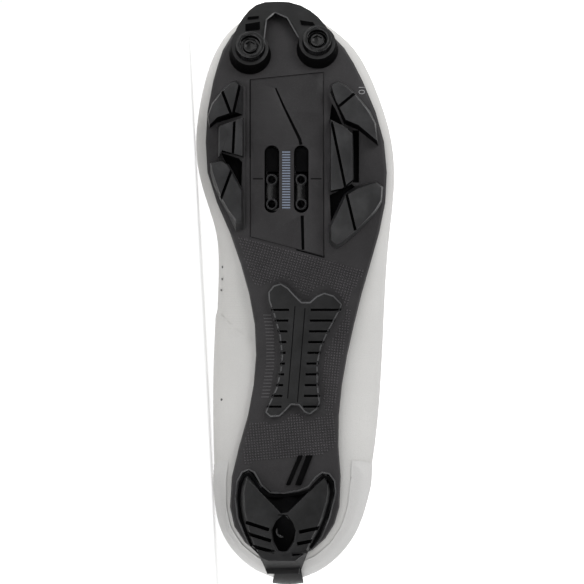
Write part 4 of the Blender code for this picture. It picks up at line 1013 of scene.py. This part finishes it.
class SHOE_OT_plate(bpy.types.Operator):
    """Finish the sole plate with its moulded dots and ribs"""
    bl_idname = "shoe.plate"
    bl_label = "Sole plate"

    def execute(self, context):
        plate = flattened("sole_plate_skin", standing("sole_plate"))
        tree = surface_of("sole_plate")
        for corners in PLATE_POCKETS:
            cut_out(plate, pocket(tree, corners, 0.004, POCKET_DEPTH))
        for groove in PLATE_GROOVES:
            engrave(plate, tree, groove)
        bevelled(plate, 0.00035, 2, 35)
        mark_shaded(plate, tree)
        laid(plate, "plate", (FINISHES["plate"], FINISHES["plate"], FINISHES["shade"]), "sole_plate")
        size = sizes()
        dots = dot_places(tree, size.dot_pitch / UNIT, size.dot_height)
        scattered("waist_dots", "dot", dots, (size.dot_width, size.dot_width, size.dot_height),
                  FINISHES["dots"])
        printed("size_number", tree, SIZE_STROKES, 0.00034, "plate", FINISHES["size_ink"])
        ribs = []
        steps = int((RIB_EDGE[-1][0] - RIB_EDGE[0][0]) / RIB_PITCH)
        for i in range(steps + 1):
            down = RIB_EDGE[0][0] + i * RIB_PITCH
            end = between(RIB_EDGE, down)
            hit, normal = seen_from_below(tree, spot((RIB_START + end) / 2, down))
            ribs.append((hit, normal, Vector((1, 0, 0))))
        scattered("waist_ribs", "bar", ribs, (0.0040, 0.00055, 0.0005), FINISHES["dots"])
        return {"FINISHED"}


def dot_places(tree, pitch, height):
    places = []
    for slope, zone in DOT_ZONES:
        heading = Vector((1, -slope, 0)).normalized()
        left, right = min(p[0] for p in zone), max(p[0] for p in zone)
        top, bottom = min(p[1] for p in zone), max(p[1] for p in zone)
        drop = (right - left) * abs(slope)
        rows = int((bottom - top + 2 * drop) / pitch) + 1
        for row in range(rows):
            for column in range(-20, int((right - left) / pitch) + 40):
                across = left + column * pitch - (row * pitch) * slope
                down = top - drop + row * pitch + (across - left) * slope
                if not inside(zone, across, down):
                    continue
                hit, normal = seen_from_below(tree, spot(across, down))
                if hit is not None and normal.z < -0.7:
                    places.append((hit + normal * height * 0.4, normal, heading))
    return places


class SHOE_OT_panel(bpy.types.Operator):
    """Cut the cleat panel's guide grooves and print its scale"""
    bl_idname = "shoe.panel"
    bl_label = "Cleat panel"

    def execute(self, context):
        panel = flattened("cleat_panel_skin", standing("cleat_panel"))
        tree = surface_of("cleat_panel")
        for groove in PANEL_GROOVES:
            engrave(panel, tree, groove)
        bevelled(panel, 0.00022, 2, 30)
        mark_shaded(panel, tree, sunk=0.0003)
        laid(panel, "panel", (FINISHES["panel"], FINISHES["panel"], FINISHES["shade"]), "cleat_panel")
        self.print_scale(tree)
        both = surface_of("cleat_panel", "sole_plate")
        # Painted shade: a thin black strip along the gap round the panel
        printed("panel_edge_shade", both, PANEL_EDGE, 0.0005, "panel", FINISHES["shade"], 0.0001, 0.0006)
        nut = bevelled(flattened("nut_plate_skin", standing("cleat_nut_plate")), 0.0002, 2, 35)
        nut_tree = surface_of("cleat_nut_plate")
        mark_shaded(nut, nut_tree, sunk=0.0006)
        laid(nut, "steel", (FINISHES["stud"], FINISHES["steel"], FINISHES["shade"]), "cleat_nut_plate")
        return {"FINISHED"}

    def print_scale(self, tree):
        bars, ticks = [], []
        for i in range(SCALE_BARS):
            hit, normal = seen_from_below(tree, spot(SCALE_TOP[0], SCALE_TOP[1] + i * SCALE_PITCH))
            bars.append((hit + normal * 0.00003, normal, Vector((1, 0, 0))))
        for column in TICK_COLUMNS:
            for i in range(TICK_ROWS):
                hit, normal = seen_from_below(tree, spot(column, SCALE_TOP[1] - 6 + i * SCALE_PITCH))
                ticks.append((hit, normal, Vector((1, 0, 0))))
        scattered("scale_print", "bar", bars, (0.0039, 0.00062, 0.0001), FINISHES["ink"])
        scattered("panel_ticks", "bar", ticks, (0.0042, 0.00022, 0.00010), FINISHES["panel"])


class SHOE_OT_lugs(bpy.types.Operator):
    """Round the edges of the rubber lugs and pads"""
    bl_idname = "shoe.lugs"
    bl_label = "Lugs and pads"

    def execute(self, context):
        for node in RUBBER_NODES:
            item = flattened(node + "_skin", standing(node))
            bevelled(item, 0.0007 if node == "arch_pad" else sizes().lug_edge, 3, 32)
            front = "front" in node or "middle" in node
            mark_shaded(
                item, surface_of(node), hollow=HEEL_HOLLOW if node == "heel_lug" else None,
                bright=lambda normal, front=front: not front or normal.y > -0.3)
            laid(item, "rubber", pad_set() if node in ("arch_pad", "heel_lug") else rubber_set(), node)
        self.line_out()
        # The heel bars are black rubber in the painted-shade finish, darker and duller than the lug rubber:
        # partly their own black, partly painted shade
        for node in ("heel_bar_1", "heel_bar_2"):
            item = bevelled(flattened(node + "_skin", standing(node)), 0.00025, 2, 25)
            laid(item, "rubber", (FINISHES["shade"],), node)
        screw = bevelled(flattened("heel_screw_skin", standing("heel_screw")), 0.0004, 3, 35)
        laid(screw, "steel", (FINISHES["stud"], FINISHES["gloss"]), "heel_screw")
        return {"FINISHED"}

    def line_out(self):
        """The heel's rim, channels and hollows, the slot ends, and the lines of the arch pad's spine: lighter
        rubber on the rims and neck lines as painted highlight, dark strips and blocks of painted shade in the
        channels, hollows, slot ends and along the spine.
        """
        heel = surface_of("heel_lug", "sole_plate")
        plate = surface_of("sole_plate")
        # Painted shade: a thin black strip in each heel channel; painted highlight: a raised rim line in
        # lighter rubber
        printed("heel_channel_shade", heel, HEEL_CHANNELS, 0.0013, "rubber", FINISHES["shade"], 0.0001, 0.003, True)
        printed("heel_rim_highlight", heel, HEEL_RIMS, 0.0007, "rubber", FINISHES["line"], 0.0004, 0.004, True)
        # Painted shade: dark blocks in the screw's hollow and at the slot ends
        for name, base, corners in (
            ("screw_hollow_shade", heel, SCREW_HOLLOW),
            ("slot_end_medial_shade", plate, SLOT_ENDS[0]), ("slot_end_lateral_shade", plate, SLOT_ENDS[1]),
        ):
            dark = pocket(base, corners, 0.00015, 0.0008)
            dark.name = name
            laid(dark, "rubber", (FINISHES["shade"],))
        pad = surface_of("arch_pad")
        rim = inset_loop(outline_of("arch_pad"), PAD_RIM_INSET)
        # Painted highlight: a raised rim line in lighter rubber round the arch pad
        printed("pad_rim_highlight", pad, (rim,), 0.0007, "rubber", FINISHES["line"], 0.0002)
        # Painted shade: dark strips along the spine's edges
        printed("spine_shade_lines", pad, SPINE_LINES, 0.0004, "rubber", FINISHES["shade"])
        heel_end = surface_of("heel_counter", "upper", "sole_plate", "heel_lug", "heel_strip")
        printed("heel_neck", heel_end, (HEEL_NECK_PATH,), HEEL_NECK_WIDTHS, "rubber",
                FINISHES["pad"], 0.0008, 0.003, True)
        # Painted highlight: lighter rubber lines down the heel neck
        printed("neck_highlight_lines", heel_end, NECK_LINES, 0.0004, "rubber", FINISHES["line"], 0.0010, 0.003, True)


class SHOE_OT_toe(bpy.types.Operator):
    """Shape the toe lug, its studs, the toe bumper and the heel strip"""
    bl_idname = "shoe.toe"
    bl_label = "Toe lug and bumper"

    def execute(self, context):
        toe = flattened("toe_lug_skin", standing("toe_lug"))
        tree = surface_of("toe_lug")
        bevelled(toe, sizes().lug_edge, 2, 25)
        mark_shaded(toe, tree, sunk=0.02, bright=lambda normal: normal.y > 0.2, heelward=True)
        laid(toe, "rubber", pad_set(), "toe_lug")
        self.widen(surface_of("upper", "sole_plate", "toe_bumper"))
        for node in ("toe_stud_medial", "toe_stud_lateral"):
            stud = bevelled(flattened(node + "_skin", standing(node)), 0.00035, 3, 25)
            mark_shaded(stud, surface_of(node), sunk=0.0008)
            laid(stud, "rubber", (FINISHES["stud"], FINISHES["gloss"], FINISHES["shade"]), node)
        bumper = subdivided("toe_bumper_skin", standing("toe_bumper"), 2, 40, 0.8)
        corners = [spot(*corner) for corner in BUMPER_TRIM]
        cut_out(bumper, prism("trim", corners, [-0.02] * len(corners), [0.12] * len(corners)))
        laid(bumper, "rubber", (FINISHES["pad"],), "toe_bumper")
        strip = subdivided("heel_strip_skin", standing("heel_strip"), 2, 40, 0.8)
        laid(strip, "rubber", (FINISHES["pad"],), "heel_strip")
        return {"FINISHED"}


    def widen(self, tree):
        """The wings that carry the toe lug out to the bumper, the arch rim in lighter rubber as a painted
        highlight, and dark blocks of painted shade on its ledges.
        """
        for side, (outer, inner) in zip(("medial", "lateral"), TOE_WINGS):
            piece = wing(f"toe_wing_{side}", tree, outer, inner, WING_THICK)
            bevelled(piece, 0.0004, 2, 35)
            laid(piece, "rubber", pad_set())
        lug = surface_of("toe_lug")
        both = surface_of("toe_lug", "sole_plate")
        # Painted highlight: a raised line in lighter rubber round the toe arch
        printed("arch_rim_highlight", both, TOE_ARCH, 0.0006, "rubber", FINISHES["line"], 0.0003, 0.003, True)
        for i, corners in enumerate(TOE_LEDGES):
            points = [seen_from_below(lug, spot(*corner))[0] or seen_from_below(tree, spot(*corner))[0]
                      for corner in corners]
            low = min(point.z for point in points) - WING_THICK * 0.1
            # Painted shade: a dark block on each ledge
            dark = prism(f"toe_ledge_shade_{i + 1}", points, [low - 0.0001] * 4, [low + 0.003] * 4)
            laid(dark, "rubber", (FINISHES["shade"],))


class SHOE_OT_closure(bpy.types.Operator):
    """Finish the lace dial, the guides and the wire"""
    bl_idname = "shoe.closure"
    bl_label = "Dial and lace"

    def execute(self, context):
        for node, edge in (("dial_base", 0.0004), ("dial_knob", 0.0003)):
            item = bevelled(flattened(node + "_skin", standing(node)), edge, 3, 25)
            laid(item, "dial", (FINISHES["dial"],), node)
        for node in GUIDE_NODES:
            item = bevelled(flattened(node + "_skin", standing(node)), 0.0003, 2, 25)
            laid(item, "dial", (FINISHES["dial"],), node)
        wire = subdivided("wire_skin", standing("lace_wire"), 1, 60, 1.0)
        laid(wire, "wire", (FINISHES["wire"],), "lace_wire")
        return {"FINISHED"}


# The studio

def camera_at(distance):
    """Square on to the sole, level, rolled so that the toe is up."""
    centre = LAY @ spot(DRAWING_SIZE / 2, DRAWING_SIZE / 2, DRAWING_PLANE)
    turn = LAY.to_3x3()
    right, up = turn @ Vector((-1, 0, 0)), turn @ Vector((0, 1, 0))
    back = turn @ Vector((0, 0, -1))
    data = bpy.data.cameras.new("camera")
    data.sensor_fit = "HORIZONTAL"
    data.angle = 2 * math.atan(DRAWING_SIZE * UNIT / 2 / distance)
    data.clip_start = 0.01
    item = bpy.data.objects.new("camera", data)
    facing = Matrix((right, up, back)).transposed().to_4x4()
    item.matrix_world = Matrix.Translation(centre + back * distance) @ facing
    bpy.context.scene.collection.objects.link(item)
    bpy.context.scene.camera = item


def soft_light(name, place, aim, size, power):
    data = bpy.data.lights.new(name, "AREA")
    data.shape = "RECTANGLE"
    data.size, data.size_y = size
    data.energy = power
    item = bpy.data.objects.new(name, data)
    item.location = place
    item.rotation_euler = (Vector(aim) - Vector(place)).to_track_quat("-Z", "Y").to_euler()
    bpy.context.scene.collection.objects.link(item)


def sweep(name, width, front, back, radius, height):
    """Studio paper: a floor that curves up into a backdrop."""
    profile = [(front, 0.0), (back - radius, 0.0)]
    for step in range(1, 13):
        turn = math.pi / 2 * step / 12
        profile.append((back - radius + radius * math.sin(turn), radius * (1 - math.cos(turn))))
    profile.append((back, height))
    bm = bmesh.new()
    rows = [[bm.verts.new((side, y, z)) for side in (-width / 2, width / 2)] for y, z in profile]
    for near, far in zip(rows, rows[1:]):
        bm.faces.new((near[0], near[1], far[1], far[0]))
    return new_object(name, bm)


def studio_world():
    """White all round, with the dark of the room behind the camera."""
    world = bpy.data.worlds.new("studio")
    world.use_nodes = True
    nodes, links = world.node_tree.nodes, world.node_tree.links
    where = nodes.new("ShaderNodeTexCoord")
    parts = nodes.new("ShaderNodeSeparateXYZ")
    links.new(where.outputs["Generated"], parts.inputs["Vector"])
    fall = nodes.new("ShaderNodeMapRange")
    fall.interpolation_type = "SMOOTHSTEP"
    for label, number in zip(("From Min", "From Max", "To Min", "To Max"), (-0.95, -0.30, 0.15, 0.93)):
        fall.inputs[label].default_value = number
    links.new(parts.outputs["Y"], fall.inputs["Value"])
    links.new(fall.outputs["Result"], nodes["Background"].inputs["Strength"])
    nodes["Background"].inputs["Color"].default_value = (1, 1, 1, 1)
    return world


class SHOE_OT_stage(bpy.types.Operator):
    """Set up the floor, the lights and the camera"""
    bl_idname = "shoe.stage"
    bl_label = "Stage"

    def execute(self, context):
        paper = sweep("studio_paper", 12.0, -6.0, 6.5, 1.6, 7.0)
        paper.data.materials.append(studio_paper("paper", 0.93))
        paper.data.shade_smooth()
        camera_at(sizes().camera_distance)
        soft_light("key", (-0.8, -1.3, 0.9), (0, 0, 0.03), (0.6, 0.6), 7)
        soft_light("backdrop", (0.0, 4.6, 1.6), (0, 6.5, 0.3), (3.0, 0.6), 40)
        context.scene.world = studio_world()
        context.scene.view_settings.view_transform = "Standard"
        return {"FINISHED"}


class SHOE_PT_panel(bpy.types.Panel):
    bl_label = "Cycling shoe"
    bl_idname = "SHOE_PT_panel"
    bl_space_type = "VIEW_3D"
    bl_region_type = "UI"
    bl_category = "Shoe"

    def draw(self, context):
        for group in (context.scene.shoe_colours, context.scene.shoe_sizes):
            for name in group.__annotations__:
                self.layout.prop(group, name)
        for operator in OPERATORS:
            self.layout.operator(operator.bl_idname)


OPERATORS = (
    SHOE_OT_upper, SHOE_OT_overlays, SHOE_OT_plate, SHOE_OT_panel, SHOE_OT_lugs,
    SHOE_OT_toe, SHOE_OT_closure, SHOE_OT_stage,
)
CLASSES = (ShoeColours, ShoeSizes, *OPERATORS, SHOE_PT_panel)


def register():
    for item in CLASSES:
        bpy.utils.register_class(item)
    bpy.types.Scene.shoe_colours = bpy.props.PointerProperty(type=ShoeColours)
    bpy.types.Scene.shoe_sizes = bpy.props.PointerProperty(type=ShoeSizes)


def unregister():
    del bpy.types.Scene.shoe_sizes
    del bpy.types.Scene.shoe_colours
    for item in reversed(CLASSES):
        bpy.utils.unregister_class(item)


def main():
    register()
    make_finishes()
    bpy.ops.shoe.upper()
    bpy.ops.shoe.overlays()
    bpy.ops.shoe.plate()
    bpy.ops.shoe.panel()
    bpy.ops.shoe.lugs()
    bpy.ops.shoe.toe()
    bpy.ops.shoe.closure()
    bpy.ops.shoe.stage()


if __name__ == "__main__":
    main()
